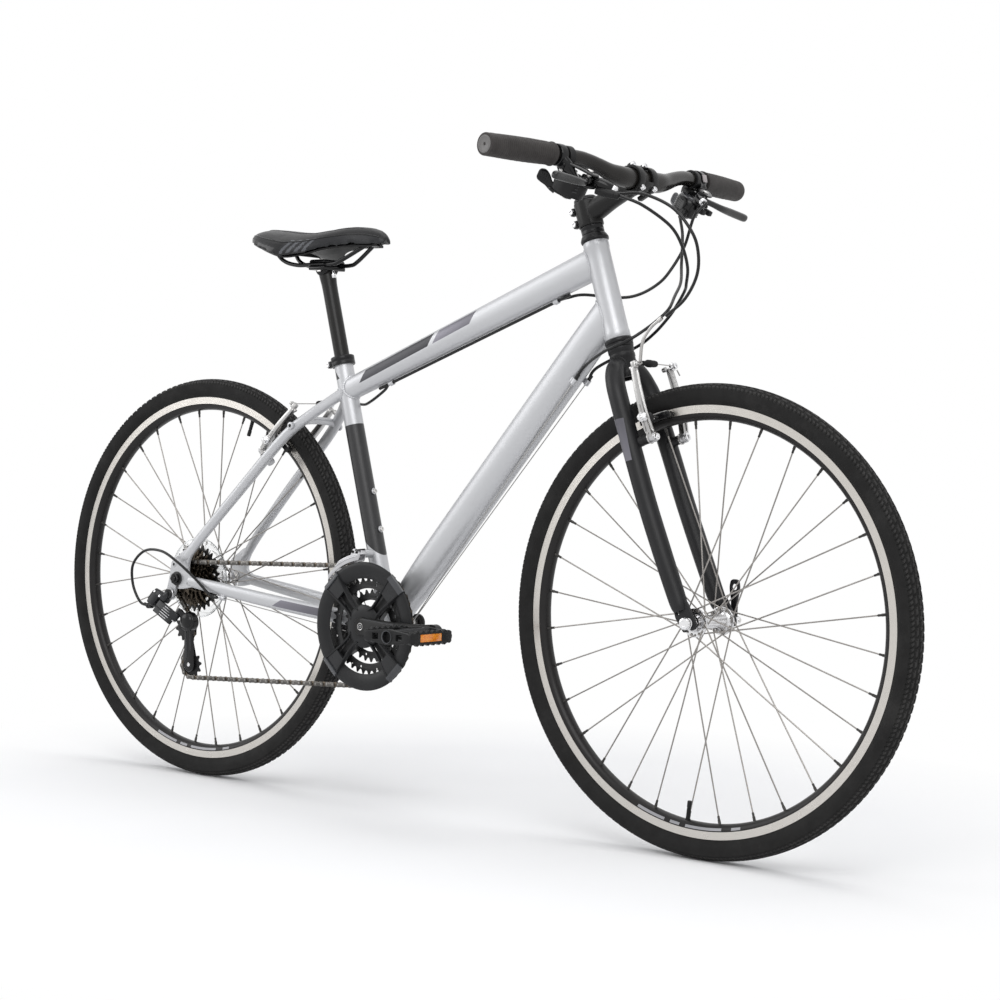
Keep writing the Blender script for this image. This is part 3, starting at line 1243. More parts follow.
def make_headset():
    ring = Piece("lower_cups")
    ring.lathe(mm((15.7, -14.3), (19.6, -14.3), (20.3, -13.6), (20.9, -9.8), (20.9, -7.8), (20.2, -7.3),
                  (21.1, -6.8), (21.7, -5.2), (21.7, -1.8), (21.2, -0.9), (20.3, -0.4), (15.7, -0.4)),
               on_steer(HEAD_LOW), STEER_DIR, "anodised", 56, closed=True)
    ring.made("frame", "headset_lower", "black_alloy")
    cover = Piece("upper_cover")
    cover.lathe(mm((15.6, 0.4), (20.3, 0.4), (21.2, 1), (21.7, 2.2), (21.7, 5), (21.3, 6), (20.7, 6.4),
                   (20.7, 7.2), (19.6, 9.8), (18, 11.9), (17.2, 12.1), (17.2, 12.5), (17.6, 12.9),
                   (17.6, 18.2), (17.3, 18.6), (17.6, 19), (17.6, 24.3), (17.2, 24.7), (15.6, 24.7)),
                on_steer(HEAD_HIGH), STEER_DIR, "anodised", 56, closed=True)
    cover.made("steering", "headset_upper", "black_alloy")


# Fork, stem and bar


def steer_plane(origin):
    """Local x ahead of the steering axis, local y up along it, local z towards the chain side."""
    return axes_at(origin, STEER_FWD, STEER_DIR, -ACROSS)


def make_fork():
    fork = Piece("rigid_fork")
    look = "fork"
    fork.lathe(mm((14, 385), (16.5, 385), (18.3, 387.5), (18.8, 393), (18.8, 416), (19.6, 417), (19.6, 421.5),
                  (18.9, 422.5), (18.9, 425), (19.9, 426.2), (19.9, 432.2), (14, 432.2)), on_steer(0),
               STEER_DIR, look, 48, closed=True)
    fork.lathe(mm((0, 400), (14.2, 400), (14.2, 668.5), (11.5, 669), (11.5, 410), (0, 410)), on_steer(0),
               STEER_DIR, "stainless", 28)
    crown = solid_of(round_rings(on_steer(0.382), on_steer(0.424), 0.0187))
    for side in (-1, 1):
        stations = []
        for height, ahead, y, radius in ((0.4080, -0.0012, 0.0030, 0.0128), (0.4020, -0.0004, 0.0215, 0.0136),
                                         (0.3920, 0.0012, 0.0315, 0.0143), (0.3750, 0.0034, 0.0394, 0.0145),
                                         (0.3480, 0.0067, 0.0446, 0.0145), (0.2700, 0.0115, 0.0480, 0.0145),
                                         (0.1860, 0.0162, 0.0495, 0.0144), (0.1100, 0.0228, 0.0502, 0.0142),
                                         (0.0470, 0.0290, 0.0506, 0.0139), (0.0280, 0.0312, 0.0513, 0.0128),
                                         (0.0190, 0.0322, 0.0520, 0.0100)):
            stations.append((on_steer(height, ahead, side * y), radius * 2.0,
                             radius * (2.0 if height > 0.06 else 1.84)))
        blade = oval_rings(stations, 28, 1.0, 4)
        fork.rings(blade, look)
        weld(fork, blade[:12][::-1], crown, look, 0.0019)
        # dropout
        roof = arc(AXLE_SLOT, math.pi, 0, 9)
        outline = [(AXLE_SLOT, -0.0112), (0.0105, -0.0112), (0.0138, -0.002), (0.0105, 0.0130),
                   (0.0062, 0.0330), (-0.0155, 0.0370), (-0.0190, 0.0140), (-0.0138, -0.003),
                   (-0.0105, -0.0112), (-AXLE_SLOT, -0.0112)]
        outline = roof + rounded(outline, [0.0015] + [0.0045] * 8 + [0.0015], 4)
        centre = FRONT_AXLE + ACROSS * side * 0.0525
        fork.slab([outline, circle(0.0024, 14, (-0.0125, 0.0180))], 0.0050, steer_plane(centre),
                  look, 0.0007, 2)
        # brake boss
        pivot = on_steer(ARM_PIVOT, 0, side * STUD_OUT)
        fork.tube([on_steer(ARM_PIVOT, 0.0130, side * 0.0450), on_steer(ARM_PIVOT, 0.0270, side * 0.0408),
                   pivot + STEER_FWD * 0.0310], [0.0092, 0.0078, 0.0070], look, 20)
        fork.lathe(mm((7, 29), (7, 40.5), (6.6, 41.2)), pivot, STEER_FWD, look, 24)
        fork.lathe(mm((4, 39.5), (4, 53)), pivot, STEER_FWD, "stainless", 16)
        fork.socket_bolt(pivot + STEER_FWD * 0.0517, STEER_FWD, 0.0062, 0.0034, "chrome")
    fork.made("steering", "fork", "black_paint", 42)


STEM_BASE = 0.627
STEM_MIDDLE = on_steer(0.647)
STEM_REACH = (STEER_FWD * math.cos(math.radians(9.2)) + STEER_DIR * math.sin(math.radians(9.2)))
BAR_CENTRE = STEM_MIDDLE + STEM_REACH * 0.103
STEM_OVER = STEM_REACH.cross(ACROSS)


def make_stem():
    stem = Piece("threadless_stem")
    look = "matte"
    stem.lathe(mm((14.9, 0.3), (18.6, 0.3), (19.4, 1.2), (19.5, 3), (19.5, 37), (19.2, 38.8), (18.4, 39.8),
                  (14.9, 39.8)), on_steer(STEM_BASE), STEER_DIR, look, 48, closed=True)
    arm = oval_rings([(STEM_MIDDLE, 0.0350, 0.0330), (STEM_MIDDLE + STEM_REACH * 0.018, 0.0350, 0.0320),
                      (STEM_MIDDLE + STEM_REACH * 0.045, 0.0312, 0.0295),
                      (STEM_MIDDLE + STEM_REACH * 0.070, 0.0310, 0.0310),
                      (STEM_MIDDLE + STEM_REACH * 0.088, 0.0330, 0.0380)], 32, 0.92)
    stem.rings(arm, look)
    # rear half of the bar clamp
    cup = degree_arc(0.0209, 86, 274, 28) + degree_arc(0.0164, 272, 88, 24)
    plane = axes_at(BAR_CENTRE, STEM_REACH, -STEM_OVER, STEM_REACH.cross(-STEM_OVER))
    stem.slab([cup], 0.0460, plane, look, 0.0011, 2)
    for way in (-1, 1):
        for side in (-1, 1):
            at = BAR_CENTRE + ACROSS * side * 0.015 + STEM_OVER * way * 0.0199 - STEM_REACH * 0.0105
            stem.block(at, (0.0074, 0.0100, 0.0205), look, STEM_REACH, ACROSS, 0.0022, 3)
    # steerer clamp ears and bolts behind, and the top cap
    for height in (0.25, 0.75):
        at = on_steer(STEM_BASE + 0.040 * height, -0.0212)
        stem.block(at - ACROSS * 0.0070, (0.0100, 0.0110, 0.0118), look, STEER_DIR, ACROSS, 0.0028, 3)
        stem.block(at + ACROSS * 0.0070, (0.0100, 0.0110, 0.0118), look, STEER_DIR, ACROSS, 0.0028, 3)
        stem.socket_bolt(at - ACROSS * 0.0124 - STEER_FWD * 0.0004, -ACROSS, 0.0043, 0.0030, "chrome")
        stem.lathe(mm((2.6, -12.4), (2.6, 12.4)), at, ACROSS, "stainless", 14)
    stem.lathe(mm((0, 40), (17.6, 40.2), (18.2, 41), (18, 44), (16, 46.2), (9, 46.6), (8, 45.8), (0, 45.8)),
               on_steer(STEM_BASE), STEER_DIR, "anodised", 44)
    stem.socket_bolt(on_steer(STEM_BASE + 0.0452), STEER_DIR, 0.0052, 0.0030, "chrome")
    stem.made("steering", "stem", "black_paint", 40)
    face = Piece("bar_clamp_face")
    cap = degree_arc(0.0209, -85, 85, 28) + degree_arc(0.0164, 84, -84, 24)
    for y, width in ((-0.0165, 0.0130), (0.0165, 0.0130)):
        face.slab([cap], width, plane @ Matrix.Translation((0, 0, y)), look, 0.0011, 2)
    for start, end in ((-85, -38), (38, 85)):
        bridge = degree_arc(0.0208, start, end, 12) + degree_arc(0.0165, end, start, 10)
        face.slab([bridge], 0.0210, plane, look, 0.0007, 2)
    for way in (-1, 1):
        for side in (-1, 1):
            at = BAR_CENTRE + ACROSS * side * 0.015 + STEM_OVER * way * 0.0199
            face.block(at + STEM_REACH * 0.0052, (0.0070, 0.0100, 0.0072), look, STEM_REACH,
                       ACROSS, 0.0020, 3)
            face.socket_bolt(at + STEM_REACH * 0.0085, STEM_REACH, 0.0043, 0.0042, "chrome")
    face.made("steering", "stem_faceplate", "black_paint", 40)


BAR_HALF = 0.320
BAR_SWEEP = 0.036
BAR_RISE = 0.018


def bar_point(y):
    """The bar's axis at a distance y from the middle, on the straight outer part."""
    along = (abs(y) / BAR_HALF - 0.4375) / (0.9875 - 0.4375)
    return BAR_CENTRE + Vector((-BAR_SWEEP * (0.33 + 0.67 * along), y, BAR_RISE))


def bar_way(side):
    return (bar_point(side * BAR_HALF) - bar_point(side * 0.176)).normalized()


def make_handlebar():
    half = []
    for share, rise, sweep, bulge in ((0.0, 0, 0, 1), (0.0938, 0, 0, 1), (0.1562, 0.05, 0, 0.85),
                                      (0.2250, 0.25, 0.06, 0.40), (0.2969, 0.60, 0.14, 0.10),
                                      (0.3687, 0.88, 0.24, 0), (0.4375, 1, 0.33, 0), (0.60, 1, 0.528, 0),
                                      (0.80, 1, 0.771, 0), (0.9870, 1, 1, 0)):
        point = BAR_CENTRE + Vector((-BAR_SWEEP * sweep, share * BAR_HALF, BAR_RISE * rise))
        half.append((*point, 0.0110 + 0.0048 * bulge))
    other = [(x, -y, z, r) for x, y, z, r in reversed(half[1:])]
    run = smooth(other + half, 6)
    bar = Piece("riser_bar")
    bar.tube([p[:3] for p in run], [p[3] for p in run], "bar", 32)
    bar.made("steering", "handlebar", "black_alloy")


GRIP_RADIUS = 0.0160


def make_grip(side, name):
    """A shaped grip: ribs and dimples round a swelling body, with a flange and an end cap."""
    grip = Piece(name + "_rubber")
    inner, along = bar_point(side * 0.190), bar_way(side)
    length = (bar_point(side * BAR_HALF) - inner).length
    matrix = placed(inner, along, UP)
    count, sides = 150, 60
    rings = []
    for k in range(count + 1):
        share = k / count
        swell = GRIP_RADIUS + 0.0010 * math.sin(math.pi * min(1.0, share * 1.15)) + 0.0004 * share
        if share < 0.035:
            swell = GRIP_RADIUS + 0.0018 - 0.0010 * abs(share - 0.015) / 0.015
        if share > 0.975:
            swell *= math.sqrt(max(0.0, 1 - ((share - 0.975) / 0.0268) ** 4))
        ring = []
        for i in range(sides):
            angle = math.tau * i / sides
            lift = 0.0
            if 0.05 < share < 0.93:
                rib = math.sin(share * 70 * math.pi)
                palm = 0.5 + 0.5 * math.cos(angle - math.radians(215))
                lift = 0.00042 * max(-0.3, rib) * (1 - 0.75 * palm)
                cell = math.sin(angle * 15) * math.sin(share * 92 * math.pi)
                lift += 0.00035 * palm * max(0.0, cell)
            ring.append(matrix @ Vector(((swell + lift) * math.cos(angle), (swell + lift) * math.sin(angle),
                                         min(length * share, length - 0.0014))))
        rings.append(ring)
    grip.rings(rings, "grip")
    end = inner + along * (length - 0.0030)
    grip.lathe(mm((1.6, -4), (11.8, -1.2), (13, 0.4), (12.7, 2.4), (11.2, 2.9), (10.4, 2.3), (3, 2.3),
                  (1.6, 1)), end, along, "grip_end", 40, closed=True)
    # a smooth inlaid panel on the upper side, near the thumb
    patch = []
    for k in range(13):
        share = 0.10 + 0.30 * k / 12
        wide = 0.62 * math.sin(math.pi * (k + 0.6) / 13.2) ** 0.5
        radius = GRIP_RADIUS + 0.0010 * math.sin(math.pi * min(1.0, share * 1.15)) + 0.00062
        row = []
        for j in range(9):
            angle = math.radians(92) + wide * (j / 4 - 1)
            row.append(matrix @ Vector((radius * math.cos(angle), radius * math.sin(angle), length * share)))
        for j in range(8, -1, -1):
            angle = math.radians(92) + wide * (j / 4 - 1)
            low = radius - 0.0016
            row.append(matrix @ Vector((low * math.cos(angle), low * math.sin(angle), length * share)))
        patch.append(row)
    grip.rings(patch, "grip_inlay")
    grip.made("steering", name, "grip_rubber", 40)


make_frame()
make_seat_clamp()
make_headset()
make_fork()
make_stem()
make_handlebar()
for side, word in ((-1, "right"), (1, "left")):
    make_grip(side, word + "_grip")

# Transmission

CHAIN_PITCH = 0.0127
CHAINRINGS = ((48, 0.0575), (38, 0.0505), (28, 0.0435))
SPROCKETS = (14, 16, 18, 20, 22, 24, 28)
SPROCKET_LINE = 0.0593
GUIDE = REAR_AXLE + Vector((0.008, -SPROCKET_LINE, -0.085))
TENSION = REAR_AXLE + Vector((0.026, -SPROCKET_LINE, -0.148))
CAGE_PIVOT = REAR_AXLE + Vector((0.034, -0.0665, -0.073))
LINK_TOP = REAR_AXLE + Vector((-0.030, -0.085, -0.046))
LINK_LOW = REAR_AXLE + Vector((0.010, -0.085, -0.066))
LINK_RUN = (LINK_LOW - LINK_TOP).normalized()
LINK_AXIS = LINK_RUN.cross(Vector((0, 0.90, -0.43))).normalized()
HANGER = REAR_AXLE + Vector((-0.015, -0.0748, -0.028))
CRANK_ANGLE = math.radians(1)


def pitch_radius(teeth):
    return CHAIN_PITCH / (2 * math.sin(math.pi / teeth))


def chain_wraps():
    """The chain's circles: centre, radius, turning sense and line, in order."""
    def flat(v):
        return Vector((v.x, v.z))
    return [(flat(BB), pitch_radius(48), 1, -0.0575), (flat(REAR_AXLE), pitch_radius(14), 1, -SPROCKET_LINE),
            (flat(GUIDE), pitch_radius(11), -1, -SPROCKET_LINE),
            (flat(TENSION), pitch_radius(11), 1, -SPROCKET_LINE)]


def chain_path():
    """A fine closed run round the wraps."""
    wraps = chain_wraps()
    headings = []
    for one, two in zip(wraps, wraps[1:] + wraps[:1]):
        line = two[0] - one[0]
        bend = math.asin((two[2] * two[1] - one[2] * one[1]) / line.length)
        headings.append(math.atan2(line.y, line.x) - bend)
    path = []
    for i, (centre, radius, sign, line) in enumerate(wraps):
        start, end = headings[i - 1], headings[i]
        while (end - start) * sign < 0:
            end += math.tau * sign
        for k in range(61):
            heading = start + (end - start) * k / 60
            spot = centre + Vector((math.sin(heading), -math.cos(heading))) * sign * radius
            path.append((spot.x, line, spot.y))
    return path + path[:1]


def chain_rollers():
    """Roller centres one chord apart, a whole number of them round the path."""
    path = np.array(chain_path())
    lengths = np.concatenate([[0.0], np.cumsum(np.linalg.norm(np.diff(path, axis=0), axis=1))])
    total = lengths[-1]
    fine = np.arange(0, total, 0.00005)
    spots = np.stack([np.interp(fine, lengths, path[:, k]) for k in range(3)], -1)

    def walk(pitch):
        at, found = 0, [0]
        while True:
            reach = np.linalg.norm(spots[at:at + 300] - spots[at], axis=1)
            ahead = np.nonzero(reach >= pitch)[0]
            if not len(ahead):
                return found, at
            at += int(ahead[0])
            found.append(at)

    count = len(walk(CHAIN_PITCH)[0])
    count += count % 2
    low, high = CHAIN_PITCH * 0.97, CHAIN_PITCH * 1.02
    for _ in range(22):
        pitch = (low + high) / 2
        if len(walk(pitch)[0]) > count:
            low = pitch
        else:
            high = pitch
    return [Vector(spots[i]) for i in walk(high)[0][:count]]


ON_WRAP = 0.0003


def phase_at(wrap):
    """The angle of a roller that lies on a wrap, near the middle of its arc."""
    centre, radius = wrap[:2]
    on = [math.atan2(p.z - centre.y, p.x - centre.x) for p in ROLLERS
          if abs((Vector((p.x, p.z)) - centre).length - radius) < ON_WRAP]
    return on[len(on) // 2]


def gear(teeth, phase, cut=0.0042, tip=0.0026):
    """A sprocket's edge: round roller seats between pointed teeth."""
    radius = pitch_radius(teeth)
    step = math.tau / teeth
    shape = ((0.0, -cut), (0.17, -cut * 0.84), (0.28, -cut * 0.25), (0.37, tip * 0.55), (0.455, tip),
             (0.545, tip), (0.63, tip * 0.55), (0.72, -cut * 0.25), (0.83, -cut * 0.84))
    return [((radius + lift) * math.cos(phase + step * (i + share)),
             (radius + lift) * math.sin(phase + step * (i + share))) for i in range(teeth)
            for share, lift in shape]


def link_plate(piece, one, two, low, high, look):
    """A waisted side plate from roller one to roller two, between two levels across the chain."""
    waist, ends = 0.0031, 0.0042
    length = (two - one).length
    along = (two - one) / length
    up = along.cross(ACROSS).normalized()
    outline = []
    for centre, start in ((length, -78), (0.0, 102)):
        for k in range(7):
            angle = math.radians(start + 156 * k / 6)
            outline.append((centre + ends * math.cos(angle), ends * math.sin(angle)))
        side = 1 if start < 0 else -1
        outline.append((length / 2, side * waist))
    rings = []
    middle = length / 2
    for level, shrink in ((low, 0.93), (low + 0.00018, 1.0), (high - 0.00018, 1.0), (high, 0.93)):
        rings.append([one + along * (middle + (x - middle) * (1 - (1 - shrink) * 0.5)) + up * z * shrink
                      + ACROSS * level for x, z in outline])
    piece.rings(rings, look)


def make_chain(rollers):
    chain = Piece("roller_chain")
    count = len(rollers)
    for i, one in enumerate(rollers):
        two = rollers[(i + 1) % count]
        outer = i % 2
        for side in (-1, 1):
            if outer:
                low, high = sorted((side * 0.00245, side * 0.0034))
            else:
                low, high = sorted((side * 0.00138, side * 0.0023))
            link_plate(chain, one, two, low, high, "chain" if outer else "bronze")
        chain.lathe(mm((3.6, -1.35), (3.95, -1.1), (3.95, 1.1), (3.6, 1.35)), one, ACROSS, "bronze", 14)
        chain.lathe(mm((1.4, -3.7), (1.8, -3.5), (1.8, 3.5), (1.4, 3.7)), one, ACROSS, "pin", 10)
    chain.made("frame", "chain", "chain_steel", 40)


def make_sprockets(phase):
    cluster = Piece("seven_sprockets")
    count = len(SPROCKETS)
    for i, teeth in enumerate(SPROCKETS):
        at = REAR_AXLE - ACROSS * (SPROCKET_LINE - 0.005 * i)
        edge = gear(teeth, phase if i == 0 else 0.31 * i, 0.0042, 0.0028)
        holes = [circle(0.0172, 40)]
        if teeth > 20:
            radius = pitch_radius(teeth) - 0.0125
            size = 0.0034 if teeth < 28 else 0.0042
            holes += ring_of_holes(12, radius, size, 0.2 * i, 12)
        cluster.slab([edge] + holes, 0.0018, side_plane(at),
                     "bronze" if i < count - 1 else "dark_steel", 0.00035)
    high = -(SPROCKET_LINE - 0.005 * (count - 1))
    cluster.lathe([(0.0151, high + 0.0009), (0.0208, high + 0.0009), (0.0208, -SPROCKET_LINE + 0.0002),
                   (0.0196, -SPROCKET_LINE - 0.0006), (0.0151, -SPROCKET_LINE - 0.0006)], REAR_AXLE, ACROSS,
                  "dark_steel", 48, closed=True)
    # the body's face, with its lock ring
    cluster.lathe([(0.0060, -SPROCKET_LINE + 0.0030), (0.0060, -SPROCKET_LINE - 0.0004),
                   (0.0100, -SPROCKET_LINE - 0.0012), (0.0152, -SPROCKET_LINE - 0.0012),
                   (0.0160, -SPROCKET_LINE - 0.0004), (0.0160, -SPROCKET_LINE + 0.0030)], REAR_AXLE, ACROSS,
                  "bronze", 40, closed=True)
    cluster.made("freewheel", "sprockets", "dark_steel", 35)


def guard_angle(index):
    return CRANK_ANGLE + math.pi / 4 + math.pi / 2 * index


RING_BORES = {48: 0.0805, 38: 0.0610, 28: 0.0420}
RING_BOLTS = ((0.0868, 0.0584), (0.0675, 0.0514), (0.0470, 0.0444))


def make_chainrings(phase):
    """Three blackened rings bolted to the four-armed spider behind them."""
    rings = Piece("chainrings")
    for teeth, line in CHAINRINGS:
        at = BB - ACROSS * line
        edge = gear(teeth, phase if teeth == 48 else 0.4 + teeth, 0.0042, 0.0026)
        holes = [circle(RING_BORES[teeth], 96)]
        if teeth < 48:
            holes += ring_of_holes(4, pitch_radius(teeth) - 0.0088, 0.0019, guard_angle(0) + 0.55, 10)
        rings.slab([edge] + holes, 0.0018, side_plane(at), "ring_black", 0.0004)
    for index in range(4):
        angle = guard_angle(index)
        ray = ray_at(angle)
        wide = ray.cross(ACROSS)
        arm = []
        for reach, half, near, far in ((0.018, 0.0130, 0.0445, 0.0570), (0.034, 0.0105, 0.0446, 0.0568),
                                       (0.052, 0.0098, 0.0446, 0.0566), (0.067, 0.0095, 0.0515, 0.0566),
                                       (0.0860, 0.0100, 0.0530, 0.0566)):
            centre = BB + ray * reach
            arm.append([centre + wide * w - ACROSS * y
                        for w, y in ((-half, near + 0.001), (-half + 0.001, near), (half - 0.001, near),
                                     (half, near + 0.001), (half, far - 0.001), (half - 0.001, far),
                                     (-half + 0.001, far), (-half, far - 0.001))])
        rings.rings(arm, "ring_black")
        for reach, line in RING_BOLTS:
            bolt = BB + ray * reach - ACROSS * line
            rings.socket_bolt(bolt, -ACROSS, 0.0042, 0.0012, "chrome", 0.5)
    rings.lathe(band(9.6, 24.5, -42.6, -58.4, 1.5, -1.4), BB, ACROSS, "ring_black", 48, closed=True)
    # shift pins and ramps on the middle ring
    for k in range(8):
        angle = 0.3 + k * math.pi / 4
        at = BB + ray_at(angle) * 0.0715 - ACROSS * 0.0513
        rings.lathe(mm((1.6, 0), (1.6, 0.7), (1.1, 1)), at, -ACROSS, "stainless", 12)
    rings.made("crankset", "chainring_set", "dark_steel", 35)


GUARD_FACE = 0.06175
GUARD_ARM = ((0.0260, 0.0125, 0.0052), (0.0360, 0.0098, 0.0058), (0.0500, 0.0105, 0.0062),
             (0.0680, 0.0130, 0.0066), (0.0860, 0.0158, 0.0068), (0.0975, 0.0178, 0.0062),
             (0.1022, 0.0184, 0.0040), (0.1036, 0.0185, 0.0014))
RIDGE = 0.0036


def make_chainguard():
    """The plastic disc outside the rings: a dished rim and four raised, slotted arms."""
    guard = Piece("four_arm_guard")
    near = GUARD_FACE
    rim = [(0.0775, -near + 0.0022), (0.0772, -near + 0.0010), (0.0790, -near - 0.0004),
           (0.0850, -near - 0.0024), (0.0900, -near - 0.0034), (0.0980, -near - 0.0036),
           (0.1018, -near - 0.0030), (0.1038, -near - 0.0014), (0.1042, -near), (0.0990, -near + 0.0006)]
    guard.lathe(rim, BB, ACROSS, "guard", 120, closed=True)
    guard.lathe([(0.0097, -near + 0.0002), (0.0345, -near + 0.0002), (0.0352, -near - 0.0010),
                 (0.0330, -near - 0.0030), (0.0260, -near - 0.0048), (0.0170, -near - 0.0052),
                 (0.0097, -near - 0.0052)], BB, ACROSS, "guard", 64, closed=True)
    for index in range(4):
        angle = guard_angle(index)
        ray = ray_at(angle)
        matrix = axes_at(BB - ACROSS * near, ray, ray.cross(ACROSS), -ACROSS)
        # a hard ridge down each side of the arm
        for side in (-1, 1):
            ridge = []
            for reach, half, lift in GUARD_ARM:
                inner = half - RIDGE
                ridge.append([matrix @ Vector((reach, side * y, z)) for y, z in
                              ((half + 0.0010, -0.0004), (half, lift * 0.80), (half - 0.0006, lift),
                               (inner + 0.0010, lift), (inner + 0.0002, lift * 0.86), (inner, -0.0004))])
            guard.rings(ridge, "guard")
        # the sunken floor between the ridges, open as a slot near the hub
        floor = []
        for reach, half, lift in GUARD_ARM[3:7]:
            wide = half - RIDGE + 0.0004
            floor.append([matrix @ Vector((reach, y, z)) for y, z in ((-wide, 0.0), (-wide, lift * 0.80),
                                                                      (0.0, lift * 0.84), (wide, lift * 0.80),
                                                                      (wide, 0.0))])
        guard.rings(floor, "guard_face")
        # the glossy bevel over the outer end
        bevel = []
        for share in (-1.0, -0.97, -0.5, 0.0, 0.5, 0.97, 1.0):
            y = share * 0.0184
            sink = 0.0012 if abs(share) == 1 else 0.0
            bevel.append([matrix @ Vector((reach, y * (1 - 0.02 * (0.104 - reach) / 0.01), z - sink))
                          for reach, z in ((0.0940, 0.0050), (0.0946, 0.0074), (0.0990, 0.0070),
                                           (0.1030, 0.0042), (0.1040, 0.0016), (0.1000, 0.0010))])
        guard.rings(bevel, "guard_edge")
    guard.made("crankset", "chainguard", "black_plastic", 30)


CRANK_STATIONS = ((0.0, 0.0692, 0.0270, 0.0052, 0.0010, 0.0010),
                  (0.06, 0.0698, 0.0272, 0.0064, 0.0012, 0.0012),
                  (0.16, 0.0722, 0.0262, 0.0092, 0.0018, 0.0020),
                  (0.34, 0.0762, 0.0242, 0.0112, 0.0030, 0.0032),
                  (0.60, 0.0812, 0.0228, 0.0120, 0.0046, 0.0044),
                  (0.82, 0.0848, 0.0234, 0.0120, 0.0052, 0.0048),
                  (0.94, 0.0860, 0.0262, 0.0119, 0.0040, 0.0036),
                  (1.0, 0.08602, 0.0262, 0.0119, 0.0030, 0.0030))


CRANK_LENGTH = 0.170
PEDAL_LINE = 0.09694
PEDAL_WIDTH = 0.100


def crank_ray(side):
    return ray_at(CRANK_ANGLE) * -side


def crank_section(height, width, drop, reach):
    """Half a crank arm's section by its chamfer's drop and reach, in order round the arm."""
    h, w = height / 2, width / 2
    return [(-h + 0.0010, -w), (h - 0.0010, -w), (h, -w + 0.0010), (h, w - reach - 0.0004),
            (h - 0.0004, w - reach + 0.0004), (h - drop + 0.0004, w - 0.0004), (h - drop - 0.0006, w),
            (-h + drop + 0.0006, w), (-h + drop - 0.0004, w - 0.0004), (-h + 0.0004, w - reach + 0.0004),
            (-h, w - reach - 0.0004), (-h, -w + 0.0010)]


def make_crank_arm(side, name):
    """A forged arm that leans out to the pedal, with a chamfer along its edges and a flush bolt."""
    arm = Piece(name + "_forging")
    look = "matte"
    ray = crank_ray(side)
    up = ray.cross(ACROSS) if ray.cross(ACROSS).z > 0 else -ray.cross(ACROSS)
    rings, crest = [], []
    for share, y, height, width, drop, reach in smooth(CRANK_STATIONS, 4):
        centre = BB + ray * (CRANK_LENGTH * share) + ACROSS * side * y
        section = crank_section(height, width, drop, reach)
        rings.append([centre + up * a + ACROSS * side * b for a, b in section])
        if 0.03 < share < 0.62:
            crest.append(centre + up * (height / 2 - drop) + ACROSS * side * (width / 2 - 0.0001))
    arm.rings(rings, look)
    arm.tube(crest, [0.0002] + [0.00045] * (len(crest) - 2) + [0.0002], "glossgrey", 8)
    face = 0.0718
    arm.lathe([(0.0076, face - 0.0046), (0.0142, face - 0.0046), (0.0147, face - 0.0040),
               (0.0147, face - 0.0008), (0.0140, face), (0.0082, face), (0.0076, face - 0.0006)], BB,
              ACROSS * side, look, 48, closed=True)
    arm.lathe(mm((5.6, 80), (13.4, 80), (13.9, 80.6), (13.9, 91.4), (13.4, 92), (6, 92)),
              BB + ray * CRANK_LENGTH, ACROSS * side, look, 44, closed=True)
    # the bolt: a dark washer, a bright ring and a hexagon socket
    arm.lathe([(0.0, face - 0.0040), (0.0078, face - 0.0040), (0.0078, face - 0.0006), (0.0, face - 0.0006)],
              BB, ACROSS * side, "anodised", 36)
    arm.lathe([(0.0046, face - 0.0010), (0.0059, face - 0.0010), (0.0060, face + 0.0002),
               (0.0055, face + 0.0006), (0.0048, face + 0.0004)], BB, ACROSS * side, "stainless", 36,
              closed=True)
    arm.lathe([(0.0, face - 0.0020), (0.0046, face - 0.0020), (0.0046, face - 0.0003),
               (0.0032, face - 0.0001), (0.0, face - 0.0001)], BB, ACROSS * side, "anodised", 36)
    arm.slab([circle(0.0030, 6), circle(0.0021, 6)], 0.0008,
             placed(BB + ACROSS * side * (face + 0.0002), ACROSS * side), "cast", 0.0001)
    arm.made("crankset", name, "black_alloy", 38)


def pedal_root(side):
    return BB + crank_ray(side) * CRANK_LENGTH + ACROSS * side * PEDAL_LINE


